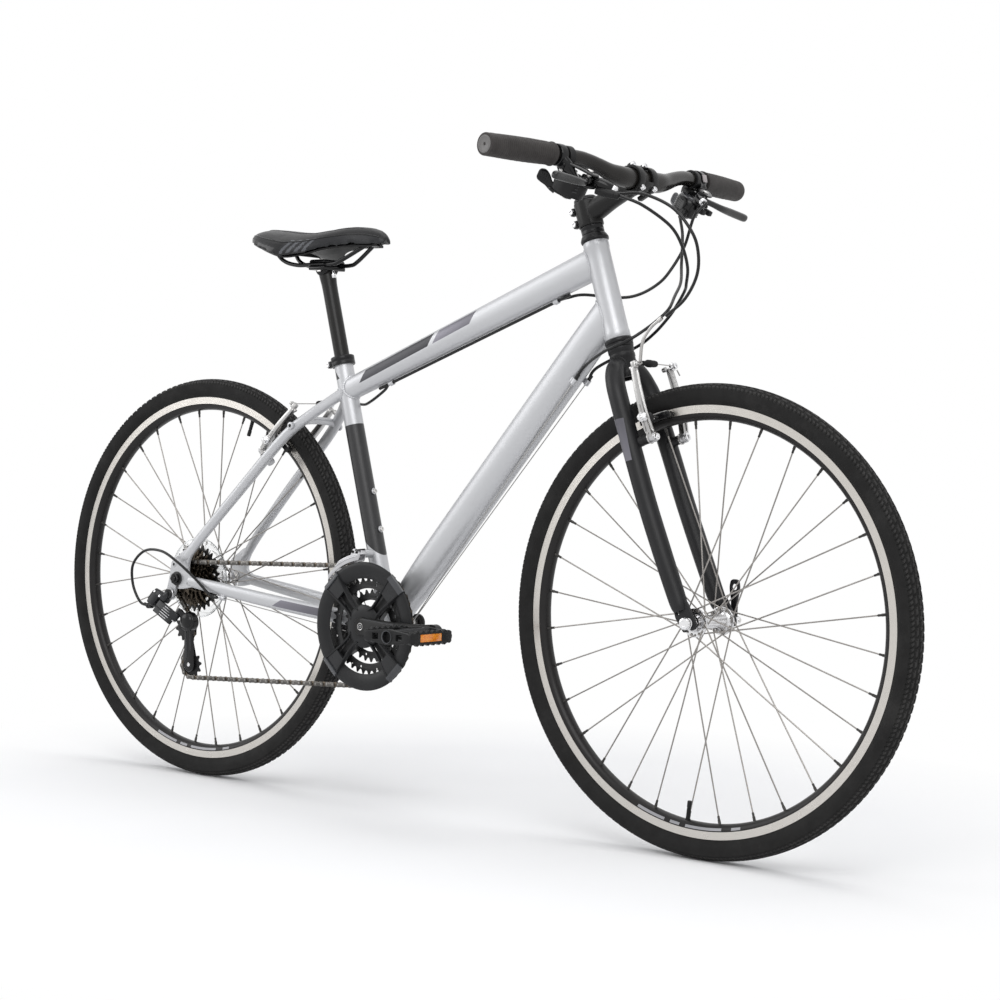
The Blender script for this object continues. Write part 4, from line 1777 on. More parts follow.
def make_pedal(side, word):
    """A moulded platform with toothed rims front and back, ribs between, and reflectors."""
    root, out, end = pedal_root(side), ACROSS * side, PEDAL_WIDTH
    pedal = Piece(word + "_platform")
    look = "plastic"
    half, tall = 0.048, 0.0122

    def at(x, y, z=0.0):
        return root + Vector((x, 0, z)) + out * y

    # barrel with its hollow end cap
    pedal.lathe([(0.0, end - 0.0095), (0.0057, end - 0.0100), (0.0057, 0.0003), (0.0104, 0.0003),
                 (0.0114, 0.0015), (0.0112, 0.0120), (0.0102, 0.0180), (0.0100, end - 0.018),
                 (0.0118, end - 0.012), (0.0120, end - 0.0012), (0.0113, end - 0.0002),
                 (0.0096, end - 0.0001), (0.0089, end - 0.0010), (0.0086, end - 0.0075), (0.0, end - 0.0077)],
                root, out, look, 44)
    pedal.lathe([(0.0087, end - 0.0004), (0.0097, end - 0.0002), (0.0101, end + 0.0004),
                 (0.0092, end + 0.0005)], root, out, "guard_edge", 44, closed=True)
    # toothed front and rear rims: a wall with notched upper and lower edges
    teeth = 6
    for way in (-1, 1):
        edge = []
        low_y, high_y = 0.0120, end - 0.0120
        for k in range(teeth * 2 + 1):
            y = low_y + (high_y - low_y) * k / (teeth * 2)
            edge.append((y, tall if k % 2 else tall - 0.0040))
        outline = [(0.0030, -tall + 0.0045), (0.0030, tall - 0.0045)] + [(0.0075, tall - 0.002)] + edge
        outline += [(end - 0.005, tall - 0.0025), (end - 0.0012, tall - 0.0065),
                    (end - 0.0012, -tall + 0.0065), (end - 0.005, -tall + 0.0025)]
        outline += [(y, -z) for y, z in reversed(edge)] + [(0.0075, -tall + 0.002)]
        outline = rounded(outline, 0.0010, 2)
        plane = axes_at(at(way * (half - 0.0034), 0), out, UP, out.cross(UP))
        window = rounded([(0.0255, -0.0062), (end - 0.0245, -0.0062), (end - 0.0245, 0.0062),
                          (0.0255, 0.0062)], 0.001, 3)
        pedal.slab([outline, window], 0.0066, plane, look, 0.0006)
        # reflector in its frame
        middle = end / 2
        pedal.block(at(way * (half - 0.0030), middle), (end - 0.0510, 0.0120, 0.0046), "amber",
                    Vector((way, 0, 0)), UP, 0.0006)
        pedal.block(at(way * (half - 0.0056), middle), (end - 0.0494, 0.0132, 0.0020), look,
                    Vector((way, 0, 0)), UP, 0.0004)
    # side walls, inner and outer, bowed out round the barrel
    for y, reach, waist in ((0.0036, 0.0450, 0.0113), (end - 0.0042, 0.0448, 0.0122)):
        wall = hull([(-reach + 0.006, 0, 0.0078), (reach - 0.006, 0, 0.0078), (0, 0, waist)], 20)
        bores = [circle(0.0088, 24)]
        if y > 0.01:
            for way in (-1, 1):
                low, high = sorted((way * 0.0180, way * 0.0300))
                bores.append(rounded([(low, -0.0048), (high, -0.0048), (high, 0.0048),
                                      (low, 0.0048)], 0.0012, 3))
        pedal.slab([wall] + bores, 0.0068, side_plane(at(0, y)), look, 0.0009, 2)
    # cross ribs between the barrel and the rims, two decks high
    for y in (0.0270, end - 0.0280):
        for way in (-1, 1):
            pedal.block(at(way * 0.0275, y), (0.0034, 0.0160, 0.0370), look, Vector((way, 0, 0)), UP, 0.0008)
    for way in (-1, 1):
        pedal.block(at(way * 0.0265, end / 2), (end - 0.018, 0.0120, 0.0026), look,
                    Vector((way, 0, 0)), UP, 0.0006)
        # a sunken dark tray inside the front and rear thirds
        pedal.block(at(way * 0.0280, end / 2), (end - 0.016, 0.0030, 0.0300), "tread_dark",
                    Vector((way, 0, 0)), UP, 0.0004)
    pedal.made(word + "_pedal_body", word + "_pedal", "black_plastic", 34)
    axle = Piece(word + "_pedal_spindle")
    axle.lathe([(0.0, -0.0170), (0.0048, -0.0170), (0.0052, -0.0160), (0.0052, -0.0044), (0.0045, -0.0040),
                (0.0045, end - 0.012), (0.0, end - 0.011)], root, out, "stainless", 24)
    axle.lathe(band(5.2, 8.2, -4.4, -0.4, 0.6, 0.4), root, out, "dark_steel", 6, closed=True)
    axle.made("crankset", word + "_pedal_axle", "stainless", 34)


def make_front_derailleur():
    """A plated cage round the chain on its carrier, with the cable's anchor bolt."""
    cage = Piece("front_changer_cage")
    look = "changer"
    inner_line, outer_line = 0.0520, 0.0633
    top, low = 0.1180, 0.1068
    outer = degree_arc(top, 95, 120, 9) + degree_arc(top - 0.0050, 129, 136, 4)
    outer += degree_arc(low + 0.0002, 139.0, 98, 14)
    cage.slab([rounded(outer, 0.0016, 3)], 0.0015, side_plane(BB - ACROSS * outer_line), look, 0.0005, 2)
    inner = degree_arc(top + 0.0008, 94, 128, 12) + degree_arc(low - 0.002, 135, 97, 12)
    cage.slab([rounded(inner, 0.0018, 3)], 0.0015, side_plane(BB - ACROSS * inner_line), look, 0.0005, 2)
    middle = BB - ACROSS * (inner_line + outer_line) / 2
    for angle, radius, size in ((100, 0.1165, 0.0100), (136, 0.1090, 0.0060)):
        ray = ray_at(math.radians(angle))
        cage.block(middle + ray * radius, (size, outer_line - inner_line + 0.001, 0.0018), look, ray,
                   ACROSS, 0.0006)
    rib = [BB - ACROSS * (outer_line + 0.0008) + ray_at(a) * 0.1135
           for a in (math.radians(100 + 3.4 * k) for k in range(9))]
    cage.tube(rib, [0.0005] + [0.0010] * 7 + [0.0005], look, 10)
    boss = CHANGER_BOSS
    cage.lathe(mm((0, 29), (4.3, 29), (4.3, 48), (3.6, 48.8), (0, 48.8)), boss, -ACROSS, "stainless", 24)
    # linkage arms over the boss, and the anchor
    cage.slab([hull([(0, -0.001, 0.0058), (-0.013, -0.010, 0.0048), (-0.006, 0.0040, 0.0042)], 28)], 0.0060,
              side_plane(boss - ACROSS * 0.0465), look, 0.0011, 2)
    cage.slab([hull([(0.001, 0.001, 0.0060), (-0.006, -0.0050, 0.0060)], 28)], 0.0110,
              side_plane(boss - ACROSS * 0.0390), look, 0.0012, 2)
    anchor = boss + Vector((-0.013, -0.0495, -0.010))
    cage.lathe(rod(5, 0, 0.9), anchor, -ACROSS, "dark_steel", 24)
    cage.hex_nut(anchor - ACROSS * 0.0009, -ACROSS, 0.0040, 0.0034, "stainless")
    # the dark spring and limit screws over the carrier
    cage.tube([boss + Vector((-0.004, -0.0485, 0.0052)), boss + Vector((0.006, -0.0470, 0.0072)),
               boss + Vector((0.0135, -0.0440, 0.0082))], [0.0016, 0.0013, 0.0011], "dark_steel", 10)
    for x, z in ((-0.0055, 0.0050), (0.0035, 0.0045)):
        cage.socket_bolt(boss + Vector((x - 0.003, -0.0492, z - 0.002)), -ACROSS, 0.0022,
                         0.0018, "dark_steel")
    cage.made("front_changer", "front_derailleur_cage", "bright_alloy", 38)


def hinge_pin(piece, at):
    piece.lathe(rod(2.1, -8.5, 9), at, LINK_AXIS, "stainless", 16)
    piece.lathe(mm((0, -9.2), (2.8, -9.2), (4, -8.4), (4, -7.4), (0, -7.4)), at, LINK_AXIS, "chrome", 20)


def make_rear_derailleur():
    look = "gloss"
    mount = Piece("hanger_knuckle")
    mount.lathe(mm((0, 0), (10, 0), (10.9, 0.9), (10.9, 4.4), (10.2, 5.2), (0, 5.2)), HANGER,
                -ACROSS, "cast", 40)
    mount.lathe(mm((0, 4.5), (8.2, 4.5), (8.8, 5.3), (8.8, 7.2), (8, 8.2), (5.2, 8.6), (4.8, 7.8), (0, 7.8)),
                HANGER, -ACROSS, look, 40)
    mount.socket_bolt(HANGER - ACROSS * 0.0074, -ACROSS, 0.0046, 0.0024, "anodised", 0.7)
    mount.lathe(mm((0, -7.5), (6.2, -7.5), (6.2, -8.2), (0, -9.5)), HANGER, -ACROSS, "stainless", 24)
    root = LINK_TOP + LINK_AXIS * 0.0073
    face = LINK_RUN.cross(LINK_AXIS)
    shoulder = LINK_TOP + LINK_AXIS * 0.0132 - LINK_RUN * 0.0040
    mount.tube([HANGER - ACROSS * 0.0030, HANGER - ACROSS * 0.0050 + Vector((-0.006, 0, -0.004)), shoulder],
               [0.0078, 0.0072, 0.0062], "steel_grey", 18)
    # the bulky body: a shoulder over the link's upper end, and a back that takes the housing
    mount.lathe(mm((0, 0), (6.2, 0), (7, 0.8), (7, 8), (0, 8.5)), root, LINK_AXIS, "steel_grey", 28)
    mount.block(shoulder, (0.0165, 0.0280, 0.0125), "steel_grey", LINK_AXIS, LINK_RUN, 0.0034, 4)
    back = LINK_TOP - LINK_RUN * 0.0158 + LINK_AXIS * 0.0035
    mount.block(back, (0.0160, 0.0175, 0.0300), "steel_grey", LINK_AXIS, LINK_RUN, 0.0040, 4)
    mount.block(back - LINK_RUN * 0.0072 + face * 0.0012, (0.0130, 0.0060, 0.0190), "gloss", LINK_AXIS,
                LINK_RUN, 0.0024, 3)
    stop = REAR_AXLE + Vector((-0.061, -0.085, -0.051))
    mount.lathe(mm((3, -1), (4.6, -1), (5, 0), (5, 4.2), (4.4, 5), (5, 5.8), (5, 10), (4.4, 12), (3, 12)),
                stop, Vector((1, 0, 0.08)), "anodised", 18, closed=True)
    hinge_pin(mount, LINK_TOP)
    # limit screws on the back
    for k in (0, 1):
        spot = back + face * 0.0078 + LINK_AXIS * (0.0085 - 0.0010 * k) + LINK_RUN * (-0.0040 + 0.0150 * k)
        mount.socket_bolt(spot, face, 0.0020, 0.0016, "chrome")
    mount.made("frame", "rear_derailleur_mount", "black_alloy", 38)

    link = Piece("parallelogram")
    face = LINK_RUN.cross(LINK_AXIS)
    for at in (LINK_TOP, LINK_LOW):
        link.lathe(band(2.4, 5.2, -7, 7, 0.6, 0.6), at, LINK_AXIS, look, 28, closed=True)
    middle = (LINK_TOP + LINK_LOW) / 2
    plane = axes_at(middle, LINK_RUN, face, LINK_AXIS)
    span = (LINK_LOW - LINK_TOP).length / 2
    outline = hull([(-span, 0, 0.0058), (span, 0, 0.0056), (-span * 0.5, 0.0022, 0.0054),
                    (span * 0.5, 0.0022, 0.0054)], 28)
    link.slab([outline, circle(0.0024, 14, (-span, 0)), circle(0.0024, 14, (span, 0))], 0.0128, plane,
              "steel_grey", 0.0016, 2)
    # the broad outer plate below the pins, with its three ribs
    plate = hull([(-span + 0.002, 0.0020, 0.0046), (span - 0.004, 0.0020, 0.0046)], 24)
    lowered = Matrix.Translation(-LINK_AXIS * 0.0112) @ plane
    link.slab([plate], 0.0110, lowered, "steel_grey", 0.0018, 3)
    for k, reach in ((-3.4, 0.80), (-2.3, 1.0), (-1.2, 1.0), (-0.1, 0.85), (1.0, 0.70)):
        level = LINK_AXIS * 0.0038 * k
        start = middle + face * 0.0070 + level - LINK_RUN * 0.0080 * reach
        end = middle + face * 0.0068 + level + LINK_RUN * 0.0150 * reach
        link.tube([start, start.lerp(end, 0.1), start.lerp(end, 0.9), end],
                  [0.0004, 0.0008, 0.0008, 0.0004], "cast", 10)
    link.made("changer_link", "rear_derailleur_link", "black_alloy", 38)

    knuckle = Piece("cage_knuckle")
    knuckle.lathe(mm((5.2, 0), (14, 0), (15.2, 1.2), (15.6, 9), (14.8, 14), (12.4, 17.8), (8.4, 19.8),
                     (4, 20.6), (0, 20.7)), CAGE_PIVOT + Vector((-0.001, 0, 0.0015)), -ACROSS, look, 56)
    plane = side_plane(CAGE_PIVOT - ACROSS * 0.0080)
    knuckle.slab([hull([(0.002, 0, 0.0150), (-0.0095, 0.0085, 0.0070), (-0.006, -0.007, 0.0082)], 32)],
                 0.0150, plane, look, 0.0030, 4)
    root = LINK_LOW + LINK_AXIS * 0.0073
    knuckle.lathe(mm((0, 0), (4.8, 0), (5.3, 0.6), (5.3, 8.2), (4.6, 9), (0, 9.1)), root, LINK_AXIS, look, 26)
    knuckle.tube([root + LINK_AXIS * 0.0055, (root + CAGE_PIVOT) / 2 + Vector((0, -0.006, 0.004)),
                  CAGE_PIVOT - ACROSS * 0.010], [0.0048, 0.0055, 0.0070], look, 18)
    hinge_pin(knuckle, LINK_LOW)
    knuckle.made("changer_knuckle", "rear_derailleur_knuckle", "black_alloy", 38)

    cage = Piece("pulley_cage")
    base = REAR_AXLE - ACROSS * SPROCKET_LINE
    guide, tension = GUIDE - base, TENSION - base
    pivot = Vector((0.034, 0, -0.073))
    outer = hull([(guide.x, guide.z, 0.0120), (pivot.x, pivot.z, 0.0110),
                  (tension.x - 0.003, tension.z + 0.055, 0.0095)], 28)
    cage.slab([outer, circle(0.0028, 16, (guide.x, guide.z))], 0.0021,
              side_plane(base - ACROSS * 0.0058), look, 0.0005)
    arm = hull([(tension.x - 0.0005, tension.z, 0.0125), (tension.x - 0.0035, tension.z + 0.058, 0.0100)], 28)
    cage.slab([arm], 0.0021, side_plane(base - ACROSS * 0.0059), look, 0.0005)
    for offset, low, high in ((-0.0052, 0.012, 0.060), (0.0048, 0.024, 0.066)):
        rib = [base - ACROSS * 0.0071 + Vector((tension.x - 0.0005 - 0.0030 * t / 0.058 + offset, 0,
                                                tension.z + t)) for t in (low, low + 0.002, (low + high) / 2,
                                                                          high - 0.002, high)]
        cage.tube(rib, [0.0003, 0.0008, 0.0009, 0.0008, 0.0003], "glossgrey", 10)
    edge = [base - ACROSS * 0.0070 + Vector((tension.x + 0.0150 * math.cos(a) * 0.80, 0,
                                             tension.z + 0.0150 * math.sin(a) * 0.80))
            for a in (2.2, 2.9, 3.6, 4.3, 5.0, 5.7)]
    cage.tube(curve_of(edge, 4), 0.0006, "glossgrey", 8)
    inner = hull([(guide.x, guide.z, 0.0072), (tension.x, tension.z, 0.0078)], 28)
    hole = hull([(guide.x * 0.75 + tension.x * 0.25, guide.z * 0.75 + tension.z * 0.25, 0.0034),
                 (guide.x * 0.3 + tension.x * 0.7, guide.z * 0.3 + tension.z * 0.7, 0.0034)], 16)
    cage.slab([inner, hole], 0.0020, side_plane(base + ACROSS * 0.0058), look, 0.0005)
    for at in (GUIDE, TENSION):
        cage.lathe(rod(2.9, -6.6, 6.6), at, -ACROSS, "dark_steel", 20)
        cage.socket_bolt(at - ACROSS * 0.0067, -ACROSS, 0.0034, 0.0016,
                         "chrome" if at == TENSION else look, 0.7)
    cage.lathe(rod(4.5, 0, 13), CAGE_PIVOT + ACROSS * 0.002, -ACROSS, "dark_steel", 20)
    cage.made("changer_cage", "rear_derailleur_cage", "black_alloy", 38)


def make_pulley(name, centre, body, phase):
    pulley = Piece(name + "_wheel")
    pulley.slab([gear(11, phase, 0.0041, 0.0014), circle(0.0062, 24)], 0.0020, side_plane(centre),
                "plastic", 0.0004)
    pulley.lathe(band(10.5, 16.6, 1.2, -1.2, 0.6, -0.4), centre, ACROSS, "plastic", 44, closed=True)
    pulley.lathe(band(3.7, 7.9, -4.3, 4.3, 0.7, 0.7), centre, ACROSS, "plastic", 28, closed=True)
    pulley.made(body, name, "black_plastic", 35)


def make_hidden():
    """The cartridge and the spindle inside the shell."""
    cartridge = Piece("cartridge")
    for side in (-1, 1):
        cartridge.lathe(mm((9.8, 33.5), (20, 33.5), (20.5, 34.5), (20.5, 36.2), (19.6, 36.9), (9.8, 36.9)),
                        BB, ACROSS * side, "dark_steel", 24, closed=True)
    cartridge.lathe(rod(16, -34, 34, 9.8), BB, ACROSS, "dark_steel", 32, closed=True)
    cartridge.made("frame", "bottom_bracket", "dark_steel")
    spindle = Piece("square_spindle")
    spindle.lathe(mm((0, -69), (6.2, -69), (6.6, -64), (8.4, -60), (8.4, 60), (6.6, 64), (6.2, 69), (0, 69)),
                  BB, ACROSS, "stainless", 32)
    spindle.made("crankset", "crank_spindle", "stainless")


CAM_PIVOT = FRONT_AXLE + ACROSS * 0.0665


def make_axles():
    """The front skewer with its nut and cam head, and the rear axle with its nuts."""
    skewer = Piece("front_skewer")
    skewer.lathe(rod(4.5, -63.2, 60), FRONT_AXLE, ACROSS, "stainless", 24)
    for side in (-1, 1):
        skewer.lathe(mm((4.8, 45.2), (8, 45.2), (8.5, 45.8), (8.5, 49), (8, 49.7), (4.8, 49.7)), FRONT_AXLE,
                     ACROSS * side, "stainless", 6, closed=True)
    skewer.lathe(mm((0, 55.3), (9.2, 55.3), (9.7, 55.8), (9.5, 57.5), (8.8, 59), (9.2, 60), (8.8, 62),
                    (7.8, 65), (6, 65.8), (4, 65.8), (3.4, 65), (0, 65)), FRONT_AXLE, -ACROSS, "chrome", 32)
    for k in range(16):
        angle = math.tau * k / 16
        ray = ray_at(angle)
        skewer.tube([FRONT_AXLE + ray * 0.0090 - ACROSS * 0.0602,
                     FRONT_AXLE + ray * 0.0084 - ACROSS * 0.0632], 0.0007, "chrome", 6)
    skewer.lathe(mm((0, 55.3), (10, 55.3), (10.4, 55.8), (10.4, 59.2), (9.6, 60.4), (0, 60.6)), FRONT_AXLE,
                 ACROSS, "chrome", 36)
    pivot = CAM_PIVOT
    for side in (-1, 1):
        ear = pivot + Vector((side * 0.0098, -0.003, 0))
        skewer.block(ear, (0.0100, 0.0130, 0.0020), "chrome", Vector((side, 0, 0)), ACROSS, 0.0008)
        skewer.lathe(mm((0, 0), (3.2, 0), (3.2, 0.8), (0, 1.4)), pivot + Vector((side * 0.0108, 0, 0)),
                     Vector((side, 0, 0)), "stainless", 16)
    skewer.made("steering", "front_axle", "bright_alloy", 38)
    axle = Piece("rear_solid_axle")
    axle.lathe(rod(4.6, -80, 80), REAR_AXLE, ACROSS, "stainless", 24)
    for side in (-1, 1):
        axle.lathe(mm((0, 80), (5, 80), (5.4, 80.6), (5.4, 84.6), (4.4, 85.6), (0, 85.6)), REAR_AXLE,
                   ACROSS * side, "gloss", 24)
    for side in (-1, 1):
        axle.lathe(band(4.8, 8.5, 63.2, 67.2, 0.4, 0.6), REAR_AXLE, ACROSS * side, "stainless",
                   6, closed=True)
        axle.lathe(mm((4.8, 74.9), (11.8, 74.9), (12, 75.4), (12, 76.4), (11.2, 76.9), (4.8, 76.9)),
                   REAR_AXLE, ACROSS * side, "anodised", 32, closed=True)
        axle.lathe(band(4.8, 9.4, 76.9, 83.1, 0.8, 0.7), REAR_AXLE, ACROSS * side, "gloss", 6, closed=True)
    axle.made("frame", "rear_axle", "stainless", 38)


def make_quick_release():
    lever = Piece("cam_lever")
    pivot = CAM_PIVOT
    lever.lathe(band(2.2, 5.5, -8, 8, 0.5, 0.6), pivot, Vector((1, 0, 0)), "anodised", 28, closed=True)
    half = [(-0.0052, 0.0), (-0.0050, 0.014), (-0.0058, 0.030), (-0.0080, 0.042), (-0.0084, 0.050),
            (-0.0066, 0.0575), (-0.0028, 0.0600)]
    outline = [Vector(p).to_2d() for p in smooth([(x, y, 0) for x, y in half], 5)]
    outline = [(p.x, p.y) for p in outline] + [(-p.x, p.y) for p in reversed(outline)]
    loop = circle(0.0046, 28, (0, 0.0485))
    plane = side_plane(pivot + ACROSS * 0.001)
    lever.slab([outline, loop], 0.0056, plane, "anodised", 0.0016, 3)
    lever.made("quick_release", "front_quick_release_lever", "black_alloy", 38)


ROLLERS = chain_rollers()
WRAPS = chain_wraps()
make_chain(ROLLERS)
make_sprockets(phase_at(WRAPS[1]))
make_chainrings(phase_at(WRAPS[0]))
make_chainguard()
for side, word in ((-1, "right"), (1, "left")):
    make_crank_arm(side, word + "_crank_arm")
    make_pedal(side, word)
make_front_derailleur()
make_rear_derailleur()
make_pulley("guide_pulley", GUIDE, "upper_pulley", phase_at(WRAPS[2]))
make_pulley("tension_pulley", TENSION, "lower_pulley", phase_at(WRAPS[3]))
make_hidden()
make_axles()
make_quick_release()

# Controls

CONTROL_TILT = math.radians(29)
AHEAD = Vector((math.cos(CONTROL_TILT), 0, -math.sin(CONTROL_TILT)))
ABOVE = Vector((math.sin(CONTROL_TILT), 0, math.cos(CONTROL_TILT)))
CLAMP_AT = 0.176
LEVER_AT = 0.148
LEVER_DROP = 0.0155
POD_AT = 0.150
POD_DROP = 0.040
EXITS = {-1: ((0.0614, 0.061, -0.0495), (0.0694, 0.056, -0.0565)),
         1: ((0.0504, 0.051, -0.0411), (0.0154, 0.060, -0.0625))}


def on_control(side, out, forward, up):
    """A point by its distance from the bike's middle, ahead of the bar and above the lever's plane."""
    return bar_point(side * out) + AHEAD * forward + ABOVE * (up - LEVER_DROP)


def pod_point(side, up, forward=0.0, out=0.0):
    return bar_point(side * POD_AT) - UP * POD_DROP + ABOVE * up + AHEAD * forward + ACROSS * side * out


def exits_of(side):
    return [bar_point(side * CLAMP_AT) + Vector((ahead, -side * inboard, above))
            for ahead, inboard, above in EXITS[side]]


def roots_of(side):
    return [on_control(side, 0.134, 0.042, 0), pod_point(side, 0.0)]


def barrel(piece, root, end, body, tip, radius, hood, knurl=22):
    """A moulded cable entry with a fluted adjuster that ends where the housing starts."""
    way = (end - root).normalized()
    length = (end - root).length
    start = end - way * hood
    piece.lathe([(radius * 0.80, -min(length - hood, 0.010)), (radius * 1.05, 0.0),
                 (radius * 1.08, hood * 0.30), (radius, hood * 0.62), (radius * 0.90, hood * 0.70),
                 (radius * 0.5, hood * 0.71)], start, way, body, 28)
    rings = []
    for along, size in ((0.68, 0.80), (0.71, 0.88), (0.74, 0.90), (0.93, 0.88), (0.96, 0.80), (1.0, 0.60),
                        (1.0, 0.34)):
        centre = start + way * hood * along
        matrix = placed(centre, way)
        ring = []
        for i in range(knurl * 4):
            angle = math.tau * i / (knurl * 4)
            depth = 0.05 * radius * (1 if i % 4 < 2 else 0) if 0.72 < along < 0.95 else 0.0
            ring.append(matrix @ Vector(((radius * size - depth) * math.cos(angle),
                                         (radius * size - depth) * math.sin(angle), 0)))
        rings.append(ring)
    piece.rings(rings, tip)


def make_control(side, name):
    control = Piece(name + "_body")
    clamp, along = bar_point(side * CLAMP_AT), bar_way(side)
    # the split bar clamp with its pinch bolt, and the band of the gear pod beside it
    control.lathe(mm((11.3, -6), (15, -6.4), (16, -5.6), (16.4, 0), (16, 5.6), (15, 6.4), (11.3, 6)), clamp,
                  along, "gloss", 48, closed=True)
    band = bar_point(side * (CLAMP_AT - 0.017))
    control.lathe(mm((11.3, -5.2), (14, -5.4), (15, -4.4), (15, 4.4), (14, 5.4), (11.3, 5.2)), band, along,
                  "plastic", 48, closed=True)
    ear = clamp + AHEAD * 0.0150 - ABOVE * 0.0090
    control.block(ear, (0.0105, 0.0110, 0.0120), "gloss", AHEAD, ACROSS, 0.0022, 3)
    control.socket_bolt(ear - ABOVE * 0.0060 + AHEAD * 0.0010, -ABOVE, 0.0032, 0.0026, "stainless")
    # the bracket: a smooth arm from the clamp to the lever's pivot
    route = [clamp + AHEAD * 0.009 - ABOVE * 0.002, on_control(side, 0.170, 0.020, 0.0075),
             on_control(side, 0.160, 0.031, -0.002), on_control(side, LEVER_AT + 0.002, 0.040, -0.0085),
             on_control(side, LEVER_AT - 0.012, 0.0425, -0.0085)]
    run = smooth([(*p, *size) for p, size in zip(route, ((0.019, 0.014), (0.016, 0.015), (0.0070, 0.022),
                                                        (0.0058, 0.0245), (0.0058, 0.0200)))], 6)
    control.rings([[matrix @ Vector((q[1], q[0], 0)) for q in oval(p[3], p[4], 24, 0.7)]
                   for p, matrix in followed(run, ABOVE)], "gloss")
    # a hood over the pivot, open in front, and the pin with its cap
    pivot = on_control(side, LEVER_AT, 0.040, 0)
    hood = [on_control(side, 0.171, 0.0205, 0.0125), on_control(side, 0.160, 0.031, 0.0118),
            pivot + ABOVE * 0.0098, on_control(side, 0.137, 0.044, 0.0090)]
    run = smooth([(*p, w) for p, w in zip(hood, (0.013, 0.020, 0.0245, 0.017))], 6)
    control.rings([[matrix @ Vector((q[1], q[0], 0)) for q in oval(0.0042, p[3], 24, 0.75)]
                   for p, matrix in followed(run, ABOVE)], "gloss")
    control.lathe(mm((3, -11), (3, 12.5), (4.6, 12.8), (4.6, 13.8), (3.4, 14.6), (0, 14.6)), pivot, ABOVE,
                  "stainless", 20)
    # the cable wall behind the barrel
    wall_at, middle = roots_of(side)
    control.block(wall_at - ABOVE * 0.0015, (0.0085, 0.0150, 0.0170), "gloss", ABOVE, AHEAD, 0.0026, 3)
    brake_exit, gear_exit = exits_of(side)
    barrel(control, wall_at, brake_exit, "gloss", "alloy", 0.0078 if side < 0 else 0.0066,
           0.027 if side < 0 else 0.020)
    barrel(control, middle, gear_exit, "plastic", "plastic", 0.0062, 0.026 if side < 0 else 0.020, 12)
    # the gear pod: a rounded shell with a stepped lid, a window and two screws
    outline = hull([(0.0, 0.0, 0.0205), (0.0075, side * -0.0060, 0.0160),
                    (-0.0100, side * 0.0080, 0.0120)], 36)
    matrix = axes_at(pod_point(side, 0.0), AHEAD, ACROSS, ABOVE)
    levels = ((-0.0150, 0.80), (-0.0146, 0.88), (-0.0125, 0.95), (-0.0040, 1.0), (0.0040, 1.0),
              (0.0090, 0.965), (0.0120, 0.90), (0.0138, 0.80), (0.0146, 0.62), (0.0149, 0.30))
    shell = [[matrix @ Vector((x * size, y * size, level)) for x, y in outline] for level, size in levels]
    control.rings(shell, "plastic" if side < 0 else "housing")
    lid = [[matrix @ Vector((x * size, y * size, level)) for x, y in outline]
           for level, size in ((0.0128, 0.86), (0.0150, 0.84), (0.0160, 0.78), (0.0166, 0.66),
                               (0.0168, 0.36))]
    control.rings(lid, "glossgrey" if side > 0 else "lid")
    control.block(pod_point(side, 0.0166, 0.0050, -0.006), (0.0090, 0.0120, 0.0030), "gloss", ABOVE,
                  AHEAD, 0.0012, 2)
    for forward, out in ((-0.0105, 0.0060), (0.0130, -0.0090)):
        control.socket_bolt(pod_point(side, 0.0158, forward, out), ABOVE, 0.0026, 0.0018, "stainless")
    if side < 0:
        for k in range(3):
            control.block(pod_point(side, -0.004 + 0.0045 * k, 0.0195, -0.0015 * k),
                          (0.0300 - 0.004 * k, 0.0016, 0.0012), "lid", AHEAD, ABOVE, 0.0005, 1)
    else:
        for k in range(7):
            control.lathe(mm((19.8, -0.8), (21.1, -0.3), (21.1, 0.3), (19.8, 0.8)),
                          pod_point(side, -0.0110 + 0.0031 * k), ABOVE, "housing", 48, closed=True)
        control.block(clamp + AHEAD * 0.0125 + ABOVE * 0.0105, (0.0120, 0.0105, 0.0022), "badge",
                      AHEAD * 0.75 + ABOVE * 0.66, ACROSS, 0.0010, 2)
        for k, out in enumerate((0.165, 0.140)):
            control.block(on_control(side, out, 0.050 + 0.002 * k, -0.0150), (0.0130, 0.0100, 0.0080),
                          "plastic", ABOVE, ACROSS, 0.0016, 2)
    # the arm that carries the pod from its own band
    neck = [band - ABOVE * 0.010 + AHEAD * 0.004, band - ABOVE * 0.018 + AHEAD * 0.002,
            pod_point(side, 0.0150)]
    control.tube(curve_of(neck, 4), 0.0078, "plastic", 20, upright=AHEAD, flat=1.3)
    control.made("steering", name, "black_plastic", 40)


